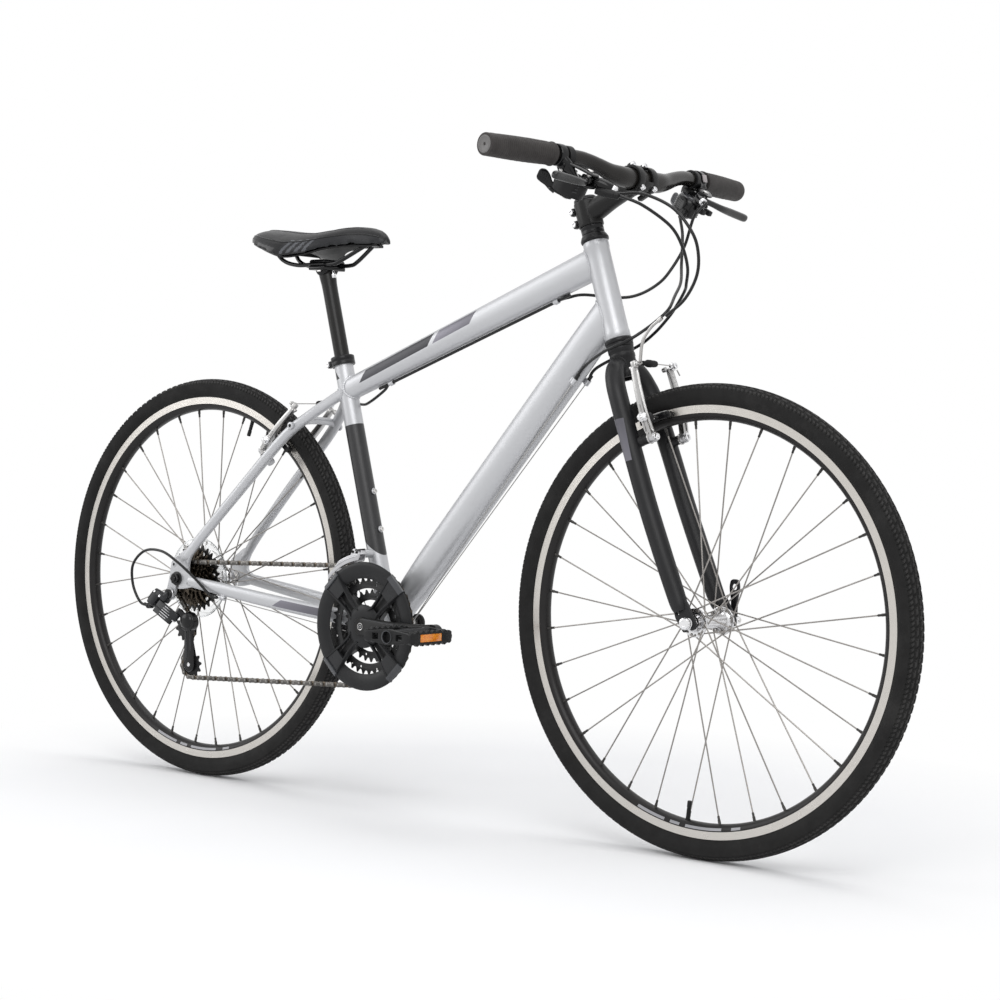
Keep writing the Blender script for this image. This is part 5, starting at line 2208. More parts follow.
def make_lever(side, name):
    """A two-finger blade with a rolled edge, a boss at its pin and a ball end."""
    lever = Piece(name + "_blade")
    pivot = on_control(side, LEVER_AT, 0.040, 0)
    lift = 0.011 if side < 0 else -0.004
    stations = ((LEVER_AT + 0.003, 0.0420, 0.0, 0.0110, 0.0086),
                (LEVER_AT + 0.016, 0.0520, 0.0, 0.0110, 0.0088),
                (LEVER_AT + 0.032, 0.0620, lift * 0.2, 0.0100, 0.0104),
                (LEVER_AT + 0.056, 0.0665, lift * 0.5, 0.0092, 0.0120),
                (LEVER_AT + 0.080, 0.0700, lift * 0.8, 0.0094, 0.0124),
                (LEVER_AT + 0.096, 0.0722, lift, 0.0110, 0.0122),
                (LEVER_AT + 0.1015, 0.0726, lift, 0.0100, 0.0105),
                (LEVER_AT + 0.1035, 0.0728, lift, 0.0060, 0.0066))
    run = smooth([(*on_control(side, out, ahead, up), deep, tall) for out, ahead, up, deep,
                  tall in stations], 6)
    rings = []
    for i, (p, matrix) in enumerate(followed(run, ABOVE)):
        ring = []
        for q in oval(p[4], p[3], 28, 0.8):
            deep = q[1]
            hollow = max(0.0, 1 - (q[0] / (p[4] * 0.32)) ** 2)
            if side * deep * matrix.col[0].dot(AHEAD.to_4d()) < 0:
                deep *= 1 - 0.35 * hollow * min(1.0, max(0.0, i / len(run) * 3 - 0.6))
            ring.append(matrix @ Vector((deep, q[0], 0)))
        rings.append(ring)
    lever.rings(rings, "lever")
    lever.lathe(band(3.2, 8.6, -4.4, 4.4, 0.6, 0.6), pivot, ABOVE, "lever", 32, closed=True)
    # the cable anchor inside the fork of the lever, and a reach screw
    anchor = on_control(side, LEVER_AT - 0.004, 0.0345, 0)
    lever.block(pivot.lerp(anchor, 0.55), (0.0082, 0.0100, 0.0070), "lever", ABOVE, AHEAD, 0.0014, 2)
    lever.socket_bolt(on_control(side, LEVER_AT + 0.012, 0.0420, 0.0), -AHEAD, 0.0018, 0.0030, "stainless")
    lever.made(("right" if side < 0 else "left") + "_lever", name, "black_alloy", 40)


def make_thumb(side, name):
    """An arm from the pod's axis to an upright paddle with moulded ridges."""
    down = -ABOVE
    ahead = Vector((-0.93, side * 0.36, 0))
    ahead = (ahead - down * ahead.dot(down)).normalized()
    wide = down.cross(ahead)
    look = "gloss" if side < 0 else "glossgrey"
    pivot = pod_point(side, -0.0150) + down * 0.0003
    thumb = Piece(name + "_paddle")
    outline = hull([(0.0, 0.0, 0.0098), (0.022, 0.0, 0.0062)], 28)
    matrix = axes_at(pivot + down * 0.0020, ahead, wide, down)
    thumb.slab([outline], 0.0038, matrix, look, 0.0010, 2)
    thumb.socket_bolt(pivot + down * 0.0038, down, 0.0042, 0.0022, "stainless")
    route = [(0.018, 0.0, 0.0042, 0.0110), (0.026, 0.0030, 0.0046, 0.0135), (0.034, 0.0085, 0.0050, 0.0180),
             (0.042, 0.0110, 0.0050, 0.0205), (0.0485, 0.0112, 0.0046, 0.0170),
             (0.0510, 0.0110, 0.0030, 0.0110)]
    run = smooth(route, 5)
    rings = []
    for reach, up, thick, tall in run:
        centre = pivot + down * 0.0020 + ahead * reach - down * up
        rings.append([centre + wide * q[1] - down * q[0] for q in oval(tall, thick, 24, 0.75)])
    thumb.rings(rings, look)
    for k in range(4):
        for face in (-1, 1):
            at = pivot + ahead * (0.0335 + 0.0038 * k) - down * (0.0080 + 0.0006 * k) + wide * face * 0.0025
            thumb.block(at, (0.0009, 0.0115, 0.0010), look, wide, -down, 0.0003, 1)
    thumb.made(("right" if side < 0 else "left") + "_thumb", name, "black_plastic", 40)


for side, word in ((-1, "right"), (1, "left")):
    make_control(side, word + "_shifter")
    make_lever(side, word + "_brake_lever")
    make_thumb(side, word + "_thumb_lever")

# Brakes

ARM_LENGTH = {"front": 0.109, "rear": 0.106}
ARM_PLANE = {"front": 0.0465, "rear": 0.040}
PAD_RADIUS = 0.309
PAD_HALF = 0.0275


def arm_top(side, place, end):
    return place(ARM_PIVOT + ARM_LENGTH[end], ARM_PLANE[end], side * 0.046)


def make_brake(side, word, end, place, wheel, outward):
    """A linear-pull arm: bushing, channelled blade, spring, pad with washers and the cable's fittings."""
    name = end + "_" + word + "_brake_arm"
    arm = Piece(name + "_set")
    plane, length = ARM_PLANE[end], ARM_LENGTH[end]
    up = (place(1, 0, 0) - place(0, 0, 0)).normalized()
    out = ACROSS * side

    def at(share, lean=0.0, deep=0.0):
        return place(ARM_PIVOT + length * share, plane + deep, side * (STUD_OUT + lean))

    pivot = at(0.0)
    # bushing and the boss round it
    arm.lathe(band(4.9, 7.6, -5, 5, 0.4, 0.6), pivot, outward, "cast", 36, closed=True)
    # the blade, with a channel down its face
    stations = ((0.0, 0.0015, 0.0118, 0.0094), (0.08, 0.0035, 0.0122, 0.0096), (0.20, 0.0062, 0.0126, 0.0096),
                (0.42, 0.0086, 0.0122, 0.0090), (0.66, 0.0088, 0.0110, 0.0084),
                (0.86, 0.0070, 0.0104, 0.0078), (0.97, 0.0060, 0.0100, 0.0074), (1.0, 0.0060, 0.0080, 0.0060))
    run = smooth(stations, 6)
    rings = []
    for i, (share, lean, width, deep) in enumerate(run):
        before, after = run[max(i - 1, 0)], run[min(i + 1, len(run) - 1)]
        way = at(after[0], after[1]) - at(before[0], before[1])
        matrix = placed(at(share, lean), way, outward)
        w, d = width / 2, deep / 2
        sink = 0.0026 * min(1.0, max(0.0, (share - 0.05) / 0.06)) * min(1.0, max(0.0, (0.97 - share) / 0.05))
        section = rounded([(-w, -d), (w, -d), (w, d), (w * 0.50, d), (w * 0.34, d - sink),
                           (-w * 0.34, d - sink), (-w * 0.50, d), (-w, d)],
                          [0.0016, 0.0016, 0.0010, 0.0006, 0.0006, 0.0006, 0.0006, 0.0010], 2)
        rings.append([matrix @ Vector((x, y, 0)) for x, y in section])
    arm.rings(rings, "arm")
    # return spring: a coil at the pivot and a leg up the outside
    coil = [pivot - outward * (0.0052 - 0.0004 * k / 8) + (out * math.cos(k * 0.7) + up * math.sin(k * 0.7))
            * 0.0082 for k in range(20)]
    leg = [at(0.10, 0.0125, -0.003), at(0.30, 0.0170, -0.002), at(0.44, 0.0172, 0.0), at(0.47, 0.0140, 0.0)]
    arm.tube(curve_of(coil + leg, 3), 0.00075, "stainless", 8)
    arm.socket_bolt(at(0.06, 0.0085, -0.0005), out, 0.0018, 0.0040, "stainless")
    # pad: alloy holder, rubber with drain grooves, post, cupped washers and a socket nut
    low = place(0, plane, 0)
    from_wheel = low - wheel
    dot = from_wheel.dot(up)
    height = -dot + math.sqrt(dot ** 2 - from_wheel.length_squared + PAD_RADIUS ** 2)
    on_plane = place(height, plane, 0)
    ray = (on_plane - wheel).normalized()
    along = ray.cross(ACROSS)
    share = (height - ARM_PIVOT) / length
    lean = np.interp(share, [s[0] for s in stations], [s[1] for s in stations])
    holder = on_plane + out * 0.0218
    curve = []
    for k in range(15):
        reach = -PAD_HALF + 2 * PAD_HALF * k / 14
        drop = PAD_RADIUS - math.sqrt(PAD_RADIUS ** 2 - reach ** 2)
        end_size = 1 - 0.35 * max(0.0, abs(reach) / PAD_HALF - 0.82) / 0.18
        curve.append((on_plane + along * reach - ray * drop, end_size))
    for offset, thick, tall, look in ((0.0178, 0.0070, 0.0098, "pad"), (0.0222, 0.0030, 0.0106, "gloss")):
        rings = []
        for centre, size in curve:
            rings.append([centre + out * (offset + q[1]) + ray * q[0]
                          for q in oval(tall * size, thick, 20, 0.55)])
        arm.rings(rings, look)
    strip = [centre + out * 0.0225 + ray * 0.0050 for centre, size in curve[1:-1]]
    arm.tube(strip, [0.0004] + [0.0011] * (len(strip) - 2) + [0.0004], "arm", 10)
    for k in range(5):
        reach = -0.018 + 0.009 * k
        arm.block(on_plane + along * reach + out * 0.0166 - ray * 0.0004, (0.0012, 0.0102, 0.0050), "pad",
                  out, ray, 0.0003, 1)
    face = STUD_OUT + lean + 0.0062
    arm.lathe([(0.0029, 0.0), (0.0029, face + 0.0105 - 0.0225)], holder, out, "stainless", 20)
    arm.lathe(mm((3, -6.6), (7.6, -6.2), (8, -4), (5.8, -1), (3, -0.8)), on_plane + out * (face - 0.0108),
              out, "anodised", 28, closed=True)
    arm.lathe(mm((3, 0), (7.8, 0.3), (8, 1.8), (6.6, 4), (3, 4.2)), on_plane + out * face, out, "chrome",
              28, closed=True)
    arm.hex_nut(on_plane + out * (face + 0.0040), out, 0.0056, 0.0044, "chrome", 0.0029)
    # the arm's fitting at the top
    top = arm_top(side, place, end)
    if side < 0:
        # link that holds the noodle
        arm.block(top + up * 0.0022 + outward * 0.0016, (0.0088, 0.0088, 0.0112), "arm", up,
                  outward, 0.0020, 3)
        arm.lathe(mm((0, -7), (2.6, -6.8), (2.6, 6.8), (0, 7)), top - up * 0.001, outward, "stainless", 16)
        arm.block(top + outward * 0.0090 + up * 0.0016, (0.0052, 0.0056, 0.0082), "arm", out,
                  outward, 0.0012, 2)
    else:
        # pinch bolt, washer and the wire's crimped end
        arm.lathe(mm((0, -1.2), (6.2, -1), (6.6, 0.4), (6.6, 2.4), (6, 3), (0, 3)),
                  top + outward * 0.0052 + up * 0.001, outward, "chrome", 28)
        arm.socket_bolt(top + outward * 0.0082 + up * 0.001, outward, 0.0048, 0.0048, "chrome")
        arm.lathe(mm((3.6, -12), (4, -9), (4, -6), (0, -5.8)), top + up * 0.001, outward, "arm", 20)
        arm.lathe(mm((0, 0), (1.2, 0.4), (1.2, 10), (0, 10.6)),
                  top + outward * 0.0085 - up * 0.004 + out * 0.006, out * 0.5 - up, "stainless", 10)
    arm.made(end + "_" + word + "_arm", name, "bright_alloy", 40)


for side, word in ((-1, "right"), (1, "left")):
    make_brake(side, word, "front", on_steer, FRONT_AXLE, STEER_FWD)
    make_brake(side, word, "rear", on_stay, REAR_AXLE, STAY_NORMAL)

# Cables

HOUSING = 0.0024
WIRE = 0.0008
HEAD_TOP = 0.602


def steer_run(*points):
    return [on_steer(HEAD_TOP + above, ahead, y) for above, ahead, y in points]


def lead(side, kind):
    end = exits_of(side)[kind]
    return [end, end + (end - roots_of(side)[kind]).normalized() * 0.006]


def ferrule(piece, at, way, look, length=0.011, radius=0.0031):
    """A crimped cap on a housing's end: flared mouth, two rolled grooves and a stepped nose."""
    piece.lathe([(0.0024, 0.0), (radius, 0.0003), (radius, length * 0.30), (radius * 0.90, length * 0.34),
                 (radius, length * 0.38), (radius, length * 0.52), (radius * 0.90, length * 0.56),
                 (radius, length * 0.60), (radius, length * 0.84), (radius * 0.66, length * 0.88),
                 (radius * 0.66, length), (0.0008, length)], at, way, look, 24, closed=True)


def boot(piece, start, end):
    """A rubber boot over the wire: a flared cuff, bellows and a rounded nose."""
    way, length = (end - start).normalized(), (end - start).length
    profile = [(0.0010, 0.0), (0.0029, 0.0002), (0.0035, 0.0012)]
    for k in range(4):
        mid = 0.0022 + 0.0022 * k
        profile += [(0.0037, mid), (0.0037, mid + 0.0007), (0.0031, mid + 0.0010), (0.0031, mid + 0.0015)]
    profile += [(0.0052, length * 0.38), (0.0057, length * 0.42), (0.0057, length * 0.62),
                (0.0052, length * 0.66), (0.0052, length * 0.84), (0.0046, length * 0.95), (0.0026, length),
                (0.0010, length)]
    piece.lathe(profile, start, way, "boot", 32, closed=True)


def noodle_of(piece, points, end_way):
    """The bent steel guide: a tube with a rolled lip and a tapered nose."""
    route = curve_of(points, 8)
    piece.tube(route, 0.0024, "noodle", 18)
    piece.lathe(mm((2, -4), (3.6, -3.6), (3.6, -2.2), (2.5, -1.6), (3, 0), (3, 1.2), (1.8, 2.4), (0.9, 2.4)),
                points[-1], end_way, "noodle", 20)
    way = (route[0] - route[1]).normalized()
    ferrule(piece, route[0] + way * 0.0035, -way, "noodle", 0.0095, 0.0034)


def make_front_brake_cable():
    top, far = arm_top(-1, on_steer, "front"), arm_top(1, on_steer, "front")
    run = Piece("front_brake_cable_run")
    housing = lead(-1, 0) + steer_run(
        (0.003, 0.168, -0.100), (-0.028, 0.200, -0.085), (-0.067, 0.215, -0.075), (-0.097, 0.214, -0.068),
        (-0.128, 0.199, -0.062), (-0.153, 0.167, -0.058), (-0.165, 0.128, -0.056))
    run.tube(curve_of(housing), HOUSING, "housing", 16)
    end = top + STEER_FWD * 0.010 + STEER_DIR * 0.002 + ACROSS * 0.004
    noodle = steer_run((-0.166, 0.117, -0.0555), (-0.172, 0.098, -0.055), (-0.186, 0.078, -0.054))
    noodle += [end - ACROSS * 0.006 + STEER_FWD * 0.006 + STEER_DIR * 0.004, end]
    noodle_of(run, noodle, ACROSS)
    boot(run, end + ACROSS * 0.002, end + ACROSS * 0.041)
    run.tube([end + ACROSS * 0.040, far + STEER_FWD * 0.0076 + STEER_DIR * 0.002], WIRE, "wire", 10)
    run.made("steering", "front_brake_cable", "black_plastic")


def make_rear_brake_cable():
    along = TOP_LINE * 0.0075
    low, high = (under_top(share) for share in CLIP_SHARES)
    top, near = arm_top(1, on_stay, "rear"), arm_top(-1, on_stay, "rear")
    rise = STAY_LINE * 0.002
    run = Piece("rear_brake_cable_run")
    first = lead(1, 0) + steer_run((0.011, 0.114, 0.109), (-0.025, 0.078, 0.118), (-0.055, 0.053, 0.104),
                                   (-0.073, 0.038, 0.085), (-0.084, 0.015, 0.062), (-0.082, -0.010, 0.043))
    first += [high + along * 5 + ACROSS * 0.024 - UP * 0.002, high + along * 2.5 + ACROSS * 0.008,
              high + along, high, low, low - along]
    seat_low, seat_side = on_seat(0.370, 0.0279, 0.018), on_seat(0.373, 0.0, 0.0289)
    behind = on_seat(0.393, -0.045, 0.047)
    first += [low - along * 3 - UP * 0.004 + ACROSS * 0.006, seat_low, seat_side, behind]
    run.tube(curve_of(first), HOUSING, "housing", 16)
    end = top + STAY_NORMAL * 0.010 + rise - ACROSS * 0.004
    noodle = [behind + Vector((-0.014, 0.004, 0.004)), behind + Vector((-0.040, 0.010, 0.000)),
              end + ACROSS * 0.012 + STAY_NORMAL * 0.004 + rise * 4, end + ACROSS * 0.004 + rise, end]
    noodle_of(run, noodle, -ACROSS)
    boot(run, end - ACROSS * 0.003, end - ACROSS * 0.027)
    run.tube([end - ACROSS * 0.026, near + STAY_NORMAL * 0.0076 + rise], WIRE, "wire", 10)
    for clip in (low, high):
        run.tube([clip - TOP_LINE * 0.0020, clip + TOP_LINE * 0.0020], 0.0028, "housing", 16)
    run.made("frame", "rear_brake_cable", "black_plastic")


def make_rear_shift_cable():
    stop, line = on_down(down_reach(), -0.0285, 0.0165), DOWN_LINE * 0.010
    run = Piece("rear_shift_cable_run")
    first = lead(-1, 1) + steer_run(
        (-0.013, 0.163, -0.100), (-0.047, 0.180, -0.070), (-0.076, 0.179, -0.050), (-0.102, 0.167, -0.030),
        (-0.118, 0.146, -0.010), (-0.124, 0.130, 0.005), (-0.137, 0.098, 0.021), (-0.147, 0.075, 0.027),
        (-0.158, 0.042, 0.034), (-0.166, 0.004, 0.038)) + [stop + line * 3, stop + line * 0.3]
    run.tube(curve_of(first), HOUSING, "housing", 16)
    ferrule(run, stop + line * 1.3, -line, "housing")
    below = 0.0270
    along = CHAIN_LINE * 0.010
    run.tube([stop, on_down(0.02, -below - 0.0100, -0.008), BB - UP * below - ACROSS * 0.012, REAR_STOP],
             WIRE, "wire", 10)
    loop = [REAR_STOP + along * 0.3, REAR_STOP + along * 0.9, REAR_STOP + along * 2 - ACROSS * 0.009]
    places = ((0.050, -0.0805, 0.004), (0.010, -0.085, 0.030), (-0.030, -0.085, 0.046),
              (-0.075, -0.083, 0.044), (-0.099, -0.088, 0.019), (-0.098, -0.088, -0.016),
              (-0.081, -0.086, -0.045), (-0.061, -0.085, -0.051))
    loop += [REAR_AXLE + Vector(p) for p in places]
    run.tube(curve_of(loop), HOUSING, "housing", 16)
    ferrule(run, REAR_STOP + along * 1.3, -along, "alloy")
    last = (REAR_AXLE + Vector(places[-1])) - (REAR_AXLE + Vector(places[-2]))
    ferrule(run, REAR_AXLE + Vector(places[-1]) - last.normalized() * 0.009, last, "housing", 0.009)
    run.made("frame", "rear_shift_cable", "black_plastic")


def make_front_shift_cable():
    stop, line = on_down(down_reach(), -0.0285, -0.0165), DOWN_LINE * 0.010
    run = Piece("front_shift_cable_run")
    first = lead(1, 1) + steer_run(
        (-0.012, 0.089, 0.103), (-0.058, 0.083, 0.090), (-0.091, 0.090, 0.065), (-0.116, 0.093, 0.035),
        (-0.139, 0.093, 0.009), (-0.153, 0.074, -0.005), (-0.166, 0.056, -0.026), (-0.173, 0.036, -0.038),
        (-0.175, -0.002, -0.040)) + [stop + line * 3, stop + line * 0.3]
    run.tube(curve_of(first), HOUSING, "housing", 16)
    ferrule(run, stop + line * 1.3, -line, "housing")
    below = 0.0245
    bare = [stop, on_down(0.02, -below - 0.0078, 0), BB - UP * (below + 0.0012) - ACROSS * 0.002,
            BB + Vector((-0.020, -0.004, -0.017)), BB + Vector((-0.027, -0.006, -0.004)),
            BB + Vector((-0.046, -0.030, 0.060)), CHANGER_BOSS + Vector((-0.019, -0.0435, -0.022))]
    run.tube(bare, WIRE, "wire", 10)
    run.made("frame", "front_shift_cable", "black_plastic")


make_front_brake_cable()
make_rear_brake_cable()
make_rear_shift_cable()
make_front_shift_cable()

# Saddle

POST_TOP = on_seat(0.604)
RAIL_LEVEL = POST_TOP.z + 0.009
SADDLE_LENGTH = 0.270
STATIONS = ((0.0, 0.42, -0.008, -0.022), (0.03, 0.72, -0.002, -0.026), (0.11, 0.92, 0.0, -0.034),
            (0.22, 1.0, -0.003, -0.046), (0.34, 0.97, -0.007, -0.055), (0.45, 0.72, -0.008, -0.050),
            (0.56, 0.46, -0.004, -0.040), (0.70, 0.30, 0.0, -0.036), (0.85, 0.245, -0.002, -0.036),
            (0.95, 0.20, -0.009, -0.036), (1.0, 0.10, -0.022, -0.034))


def station(share, column):
    """A column of STATIONS at a share of the saddle's length: 1 its width, 2 its crown, 3 its edge."""
    return np.interp(share, [s[0] for s in STATIONS], [s[column] for s in STATIONS])


def saddle_point(share, y, height):
    return Vector((POST_TOP.x + 0.137 - SADDLE_LENGTH * (1 - share), y, POST_TOP.z + 0.072 + height))


def stuffed(cover, held):
    """Swells a closed form as foam under a stretched skin; points that held() picks stay where they are."""
    scene = bpy.context.scene
    cap = 0.006
    remesh = cover.modifiers.new("remesh", "REMESH")
    remesh.mode = "VOXEL"
    remesh.voxel_size = 0.0042
    baked = bpy.data.meshes.new_from_object(cover.evaluated_get(bpy.context.evaluated_depsgraph_get()))
    cover.modifiers.clear()
    cover.data = baked
    rest = [v.co.copy() for v in baked.vertices]
    group = cover.vertex_groups.new(name="held")
    group.add([i for i, co in enumerate(rest) if held(co)], 1.0, "REPLACE")
    cloth = cover.modifiers.new("cloth", "CLOTH")
    cloth.settings.vertex_group_mass = "held"
    cloth.settings.use_pressure = True
    cloth.settings.uniform_pressure_force = 4
    cloth.settings.effector_weights.gravity = 0
    for tick in range(1, 21):
        scene.frame_set(tick)
    swollen = bpy.data.meshes.new_from_object(cover.evaluated_get(bpy.context.evaluated_depsgraph_get()))
    cover.modifiers.clear()
    scene.frame_set(1)
    cover.vertex_groups.clear()
    for vert, start in zip(swollen.vertices, rest):
        shift = vert.co - start
        if shift.length > cap:
            vert.co = start + shift.normalized() * cap
    cover.data = swollen
    softer = cover.modifiers.new("finer", "SUBSURF")
    softer.levels = softer.render_levels = 1
    final = bpy.data.meshes.new_from_object(cover.evaluated_get(bpy.context.evaluated_depsgraph_get()))
    cover.modifiers.clear()
    cover.data = final
    return final


def make_cover():
    run = smooth(STATIONS, 6)
    rings = []
    for share, width, crown, edge in run:
        half = width * 0.0755
        depth = crown - edge
        ring = []
        for i in range(29):
            angle = math.pi * (i / 28 - 0.5)
            ring.append(saddle_point(share, half * math.sin(angle),
                                     crown - 0.0015 - depth * 0.92 * (1 - math.cos(angle) ** 0.80)))
        for across in (0.90, 0.60, 0.30, 0.0, -0.30, -0.60, -0.90):
            ring.append(saddle_point(share, half * across, crown - depth * (0.52 + 0.40 * abs(across))))
        rings.append(ring)
    piece = Piece("saddle_padded_cover")
    piece.rings(rings, "vinyl")
    cover = piece.made("saddle_post", "saddle_cover", "vinyl", 60)

    def held(co):
        share = (co.x - saddle_point(0, 0, 0).x) / SADDLE_LENGTH
        edge = station(share, 3)
        return co.z < saddle_point(0, 0, edge).z + 0.006

    mesh = stuffed(cover, held)
    mesh.materials.clear()
    for look in ("vinyl", "vinyl_gloss", "vinyl_side", "vinyl_pale"):
        mesh.materials.append(M[look])
    tail = saddle_point(0, 0, 0)
    for face in mesh.polygons:
        share = (face.center.x - tail.x) / SADDLE_LENGTH
        crown = station(share, 2)
        edge = station(share, 3)
        level = (face.center.z - tail.z - edge) / (crown - edge)
        slant = share - level * 0.10
        index = 0
        if share < 0.335 and level < 0.30:
            index = 1
        elif 0.30 < slant < 0.46 and level < 0.62 and face.normal.z < 0.75:
            index = 3 if int((slant - 0.30) / 0.020) % 2 else 2
        elif level < 0.55 and share >= 0.46:
            index = 2
        face.material_index = index
    mesh.shade_smooth()
    # seams: a piped line round the side and two sewn channels on top
    skin = BVHTree.FromPolygons([v.co for v in mesh.vertices], [tuple(p.vertices) for p in mesh.polygons])
    seams = Piece("saddle_seams")

    def on_side(share, level, side):
        crown = station(share, 2)
        edge = station(share, 3)
        start = saddle_point(share, side * 0.12, edge + (crown - edge) * level)
        return skin.ray_cast(start, -ACROSS * side)[0]

    for side in (-1, 1):
        for level_from, level_to, size, look in ((0.52, 0.60, 0.0011, "vinyl_gloss"),
                                                 (0.10, 0.12, 0.0014, "vinyl_gloss")):
            points = [on_side(0.03 + 0.93 * k / 36, level_from + (level_to - level_from) * k / 36, side)
                      for k in range(37)]
            points = [p for p in points if p is not None]
            seams.tube(curve_of(points, 3), size, look, 10)
        channel = []
        for k in range(30):
            share = 0.06 + 0.76 * k / 29
            half = station(share, 1) * 0.0775
            hit = skin.ray_cast(saddle_point(share, side * half * 0.34, 0.05), -UP)[0]
            if hit is not None:
                channel.append(hit)
        seams.tube(curve_of(channel, 3), 0.0008, "thread", 8)
        for one, two in pairs_of(curve_of(channel, 2)):
            seams.tube([one.lerp(two, 0.15) + UP * 0.0004, one.lerp(two, 0.75) + UP * 0.0004],
                       0.00055, "thread", 6)
    seams.made("saddle_post", "saddle_cover", "vinyl", 60)


def make_saddle_base():
    base = Piece("saddle_shell_and_rails")
    rings = []
    for share, width, crown, edge in smooth(STATIONS[1:-1], 5):
        if share > 0.93:
            continue
        half = width * 0.0775
        depth = crown - edge
        ring = []
        for below, row in ((0.0, (-0.86, -0.60, -0.3, 0.0, 0.3, 0.60, 0.86)),
                           (0.003, (0.83, 0.58, 0.29, 0.0, -0.29, -0.58, -0.83))):
            for across in row:
                ring.append(saddle_point(share, half * across,
                                         crown - depth * (0.63 + 0.36 * abs(across) ** 1.4) - 0.0006 - below))
        rings.append(ring)
    base.rings(rings, "plastic")
    # ribs and the sockets that hold the rails
    for share in (0.16, 0.22, 0.28, 0.72, 0.78):
        width, crown, edge = (station(share, column) for column in (1, 2, 3))
        level = crown - (crown - edge) * 0.80
        base.block(saddle_point(share, 0, level), (0.0022, width * 0.085, 0.0100), "plastic", UP,
                   ACROSS, 0.0006, 1)
    for side in (-1, 1):
        tail, nose = saddle_point(0.10, side * 0.026, -0.026), saddle_point(0.86, side * 0.008, -0.0315)
        base.block(tail + Vector((0.003, 0, 0.002)), (0.018, 0.013, 0.014), "gloss", UP, ACROSS,
                   0.0030, 3, 1.15)
        y = side * 0.021
        route = [tail, Vector((tail.x + 0.022, y, RAIL_LEVEL + 0.010)),
                 Vector((POST_TOP.x - 0.050, y, RAIL_LEVEL)), Vector((POST_TOP.x - 0.010, y, RAIL_LEVEL)),
                 Vector((POST_TOP.x + 0.032, y, RAIL_LEVEL)),
                 Vector((POST_TOP.x + 0.052, side * 0.019, RAIL_LEVEL + 0.006)), nose]
        base.tube(curve_of(route, 8), 0.0035, "gloss", 18)
    nose = saddle_point(0.86, 0, -0.0315)
    base.block(nose + UP * 0.001, (0.020, 0.026, 0.010), "gloss", UP, ACROSS, 0.0028, 3)
    base.made("saddle_post", "saddle_base", "black_plastic", 40)


def make_seatpost():
    post = Piece("seatpost_with_clamp")
    line = SEAT_DIR
    post.lathe(mm((11.2, 0), (12.7, 0.4), (12.7, 262), (12.9, 275), (14, 287), (14.6, 296), (12.5, 301),
                  (0, 303)), on_seat(0.304), line, "post", 48)
    for k in range(6):
        mark = on_seat(0.460 + 0.010 * k, -0.01258)
        post.block(mark, (0.0003, 0.0060 if k % 2 else 0.0090, 0.0005), "lid", line, ACROSS, 0.0, 1)
    head = Vector((POST_TOP.x, 0, RAIL_LEVEL - 0.006))
    profile = [(0.0, -0.0160), (0.0108, -0.0158), (0.0122, -0.0146)]
    for k in range(7):
        y = -0.0120 + 0.004 * k
        profile += [(0.0124, y - 0.0011), (0.0117, y), (0.0124, y + 0.0011)]
    post.lathe(profile + [(0.0122, 0.0146), (0.0108, 0.0158), (0.0, 0.0160)], head, ACROSS, "gloss", 40)
    for level, tall, taper in ((-0.0062, 0.0066, 1.0), (0.0056, 0.0052, 0.90)):
        post.block(Vector((POST_TOP.x, 0, RAIL_LEVEL + level)), (0.0360, 0.0530, tall), "gloss", UP, ACROSS,
                   0.0020, 3, taper)
    for side in (-1, 1):
        for edge in (-1, 1):
            start = Vector((POST_TOP.x - 0.0180, side * 0.021 + edge * 0.0052, RAIL_LEVEL + 0.0002))
            post.tube([start, start + Vector((0.036, 0, 0))], 0.0019, "gloss", 12)
        post.hex_nut(Vector((POST_TOP.x, side * 0.0155, RAIL_LEVEL - 0.006)), ACROSS * side, 0.0070,
                     0.0050, "stainless")
    bolt = Vector((POST_TOP.x + 0.0135, 0, RAIL_LEVEL - 0.0095))
    post.lathe(mm((0, -13), (4, -12.8), (4.8, -11), (4.8, -6.5), (3, -6), (3, 0)), bolt,
               Vector((-0.25, 0, 1)), "chrome", 24)
    post.socket_bolt(Vector((POST_TOP.x - 0.0120, 0, RAIL_LEVEL + 0.0080)), UP, 0.0050, 0.0036, "stainless")
    post.block(on_seat(0.584, -0.0128), (0.0006, 0.0100, 0.0140), "badge", line, ACROSS, 0.0002, 1)
    post.made("saddle_post", "seatpost", "black_paint", 40)


make_seatpost()
make_saddle_base()
make_cover()

# Camera, light and floor


def make_camera():
    turn, rise, roll = math.radians(39.081), math.radians(1.6478), math.radians(1.6164)
    away = Vector((math.sin(turn) * math.cos(rise), -math.cos(turn) * math.cos(rise), math.sin(rise)))
    target = Vector((0.1284, 0, 0.5098))
    right = Vector((math.cos(turn), math.sin(turn), 0))
    up = right.cross(-away)
    rolled = right * math.cos(roll) + up * math.sin(roll)
    up = up * math.cos(roll) - right * math.sin(roll)
    data = bpy.data.cameras.new("camera")
    data.sensor_width = 36.0
    data.lens = 79.618
    data.clip_end = 60.0
    camera = bpy.data.objects.new("camera", data)
    distance = 3.4715
    camera.matrix_world = axes_at(target + away * distance, rolled, up, away)
    show(camera)
    bpy.context.scene.camera = camera


def make_lamp(name, spot, target, size, power):
    data = bpy.data.lights.new(name, "AREA")
    data.shape = "RECTANGLE"
    data.size, data.size_y = size
    data.energy = power
    lamp = bpy.data.objects.new(name, data)
    lamp.location = spot
    lamp.rotation_euler = (Vector(target) - lamp.location).to_track_quat("-Z", "Y").to_euler()
    show(lamp)


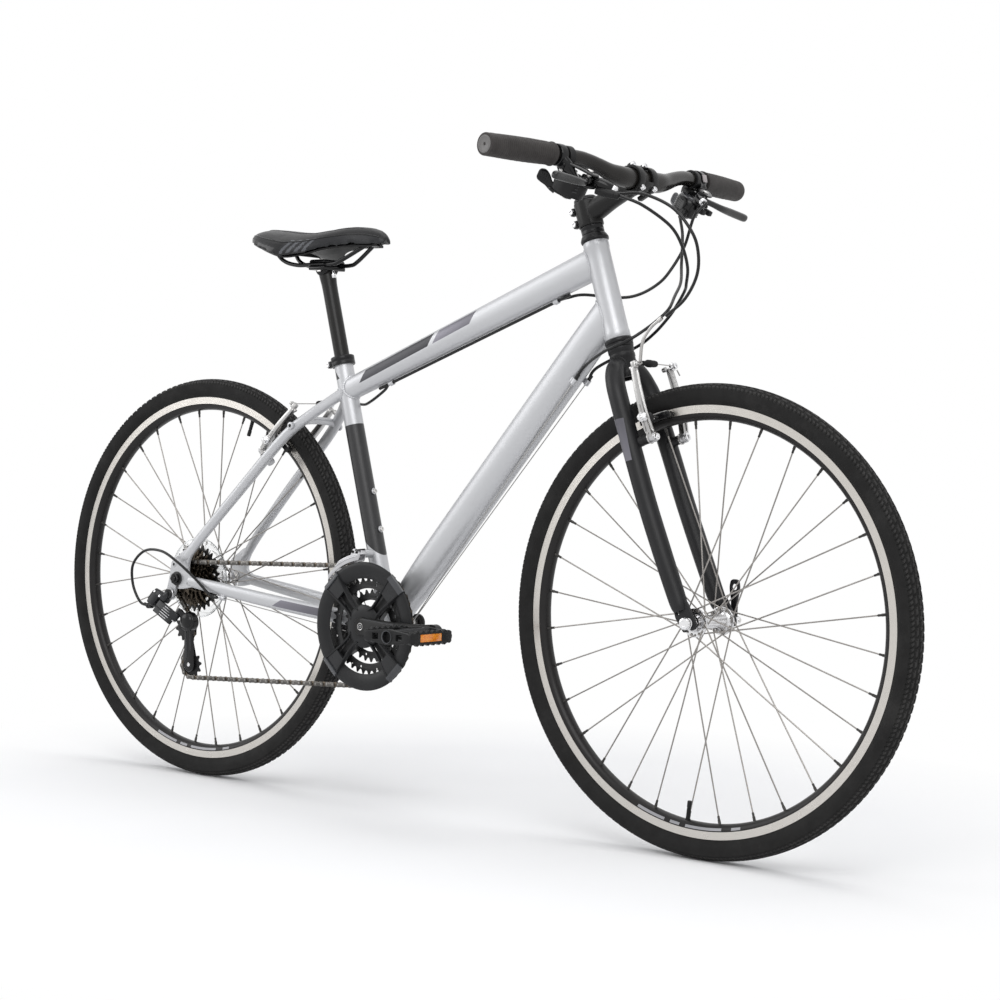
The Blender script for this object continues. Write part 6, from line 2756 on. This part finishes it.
def white_for_camera(tree, shader, output):
    """Shows plain white to the camera and in metal and glass, and the shader to all else."""
    path = tree.nodes.new("ShaderNodeLightPath")
    first = tree.nodes.new("ShaderNodeMath")
    first.operation = "MAXIMUM"
    second = tree.nodes.new("ShaderNodeMath")
    second.operation = "MAXIMUM"
    tree.links.new(path.outputs["Is Camera Ray"], first.inputs[0])
    tree.links.new(path.outputs["Is Glossy Ray"], first.inputs[1])
    tree.links.new(first.outputs[0], second.inputs[0])
    tree.links.new(path.outputs["Is Transmission Ray"], second.inputs[1])
    white = tree.nodes.new("ShaderNodeBackground")
    white.inputs["Color"].default_value = (1, 1, 1, 1)
    white.inputs["Strength"].default_value = 1.0
    mix = tree.nodes.new("ShaderNodeMixShader")
    tree.links.new(second.outputs[0], mix.inputs[0])
    tree.links.new(shader, mix.inputs[1])
    tree.links.new(white.outputs[0], mix.inputs[2])
    tree.links.new(mix.outputs[0], output)


def make_world():
    world = bpy.data.worlds.new("studio")
    world.use_nodes = True
    tree = world.node_tree
    tree.nodes.clear()
    output = tree.nodes.new("ShaderNodeOutputWorld")
    soft = tree.nodes.new("ShaderNodeBackground")
    soft.inputs["Color"].default_value = (0.97, 0.98, 1.0, 1)
    soft.inputs["Strength"].default_value = 0.62
    white_for_camera(tree, soft.outputs[0], output.inputs["Surface"])
    bpy.context.scene.world = world


def make_floor():
    floor = bpy.data.meshes.new("floor")
    reach = 14.0
    floor.from_pydata([(-reach, -reach, 0), (reach, -reach, 0), (reach, reach, 0), (-reach, reach, 0)], [],
                      [(0, 1, 2, 3)])
    nodes = Nodes("pale_floor", (0.90, 0.90, 0.905), 0.85, 0.0, spec=0.1)
    cloud = nodes.noise(1.3, 3.0)
    nodes.colour(nodes.mix(nodes.ramp(cloud, 0.3, 0.7), (0.90, 0.90, 0.905), (0.915, 0.915, 0.92)))
    # plain white away from the bike, for the camera and for reflections
    away = nodes.away((0, 0, 0), UP)
    glow = nodes.node("Emission")
    glow.inputs["Strength"].default_value = 1.0
    path = nodes.node("LightPath")
    seen = nodes.math("MAXIMUM", nodes.math("MAXIMUM", path.outputs["Is Camera Ray"],
                                            path.outputs["Is Glossy Ray"]),
                      path.outputs["Is Transmission Ray"])
    fade = nodes.every(nodes.ramp(away, 0.75, 1.25), seen)
    blend = nodes.node("MixShader")
    nodes.link(fade, blend.inputs[0])
    nodes.link(nodes.shader.outputs[0], blend.inputs[1])
    nodes.link(glow.outputs[0], blend.inputs[2])
    nodes.link(blend.outputs[0], nodes.tree.nodes["Material Output"].inputs["Surface"])
    floor.materials.append(nodes.material)
    plane = bpy.data.objects.new("floor", floor)
    plane.location.z = -0.0006
    show(plane)


make_camera()
make_world()
make_floor()
make_lamp("key", (2.4, -3.2, 3.4), (0, 0, 0.4), (3.0, 3.0), 90)
make_lamp("fill", (-3.4, -2.4, 2.2), (0, 0, 0.5), (2.5, 2.5), 40)
make_lamp("top", (0.0, 0.6, 4.2), (0, 0, 0.4), (4.0, 2.5), 55)
bpy.context.scene.view_settings.view_transform = "Standard"
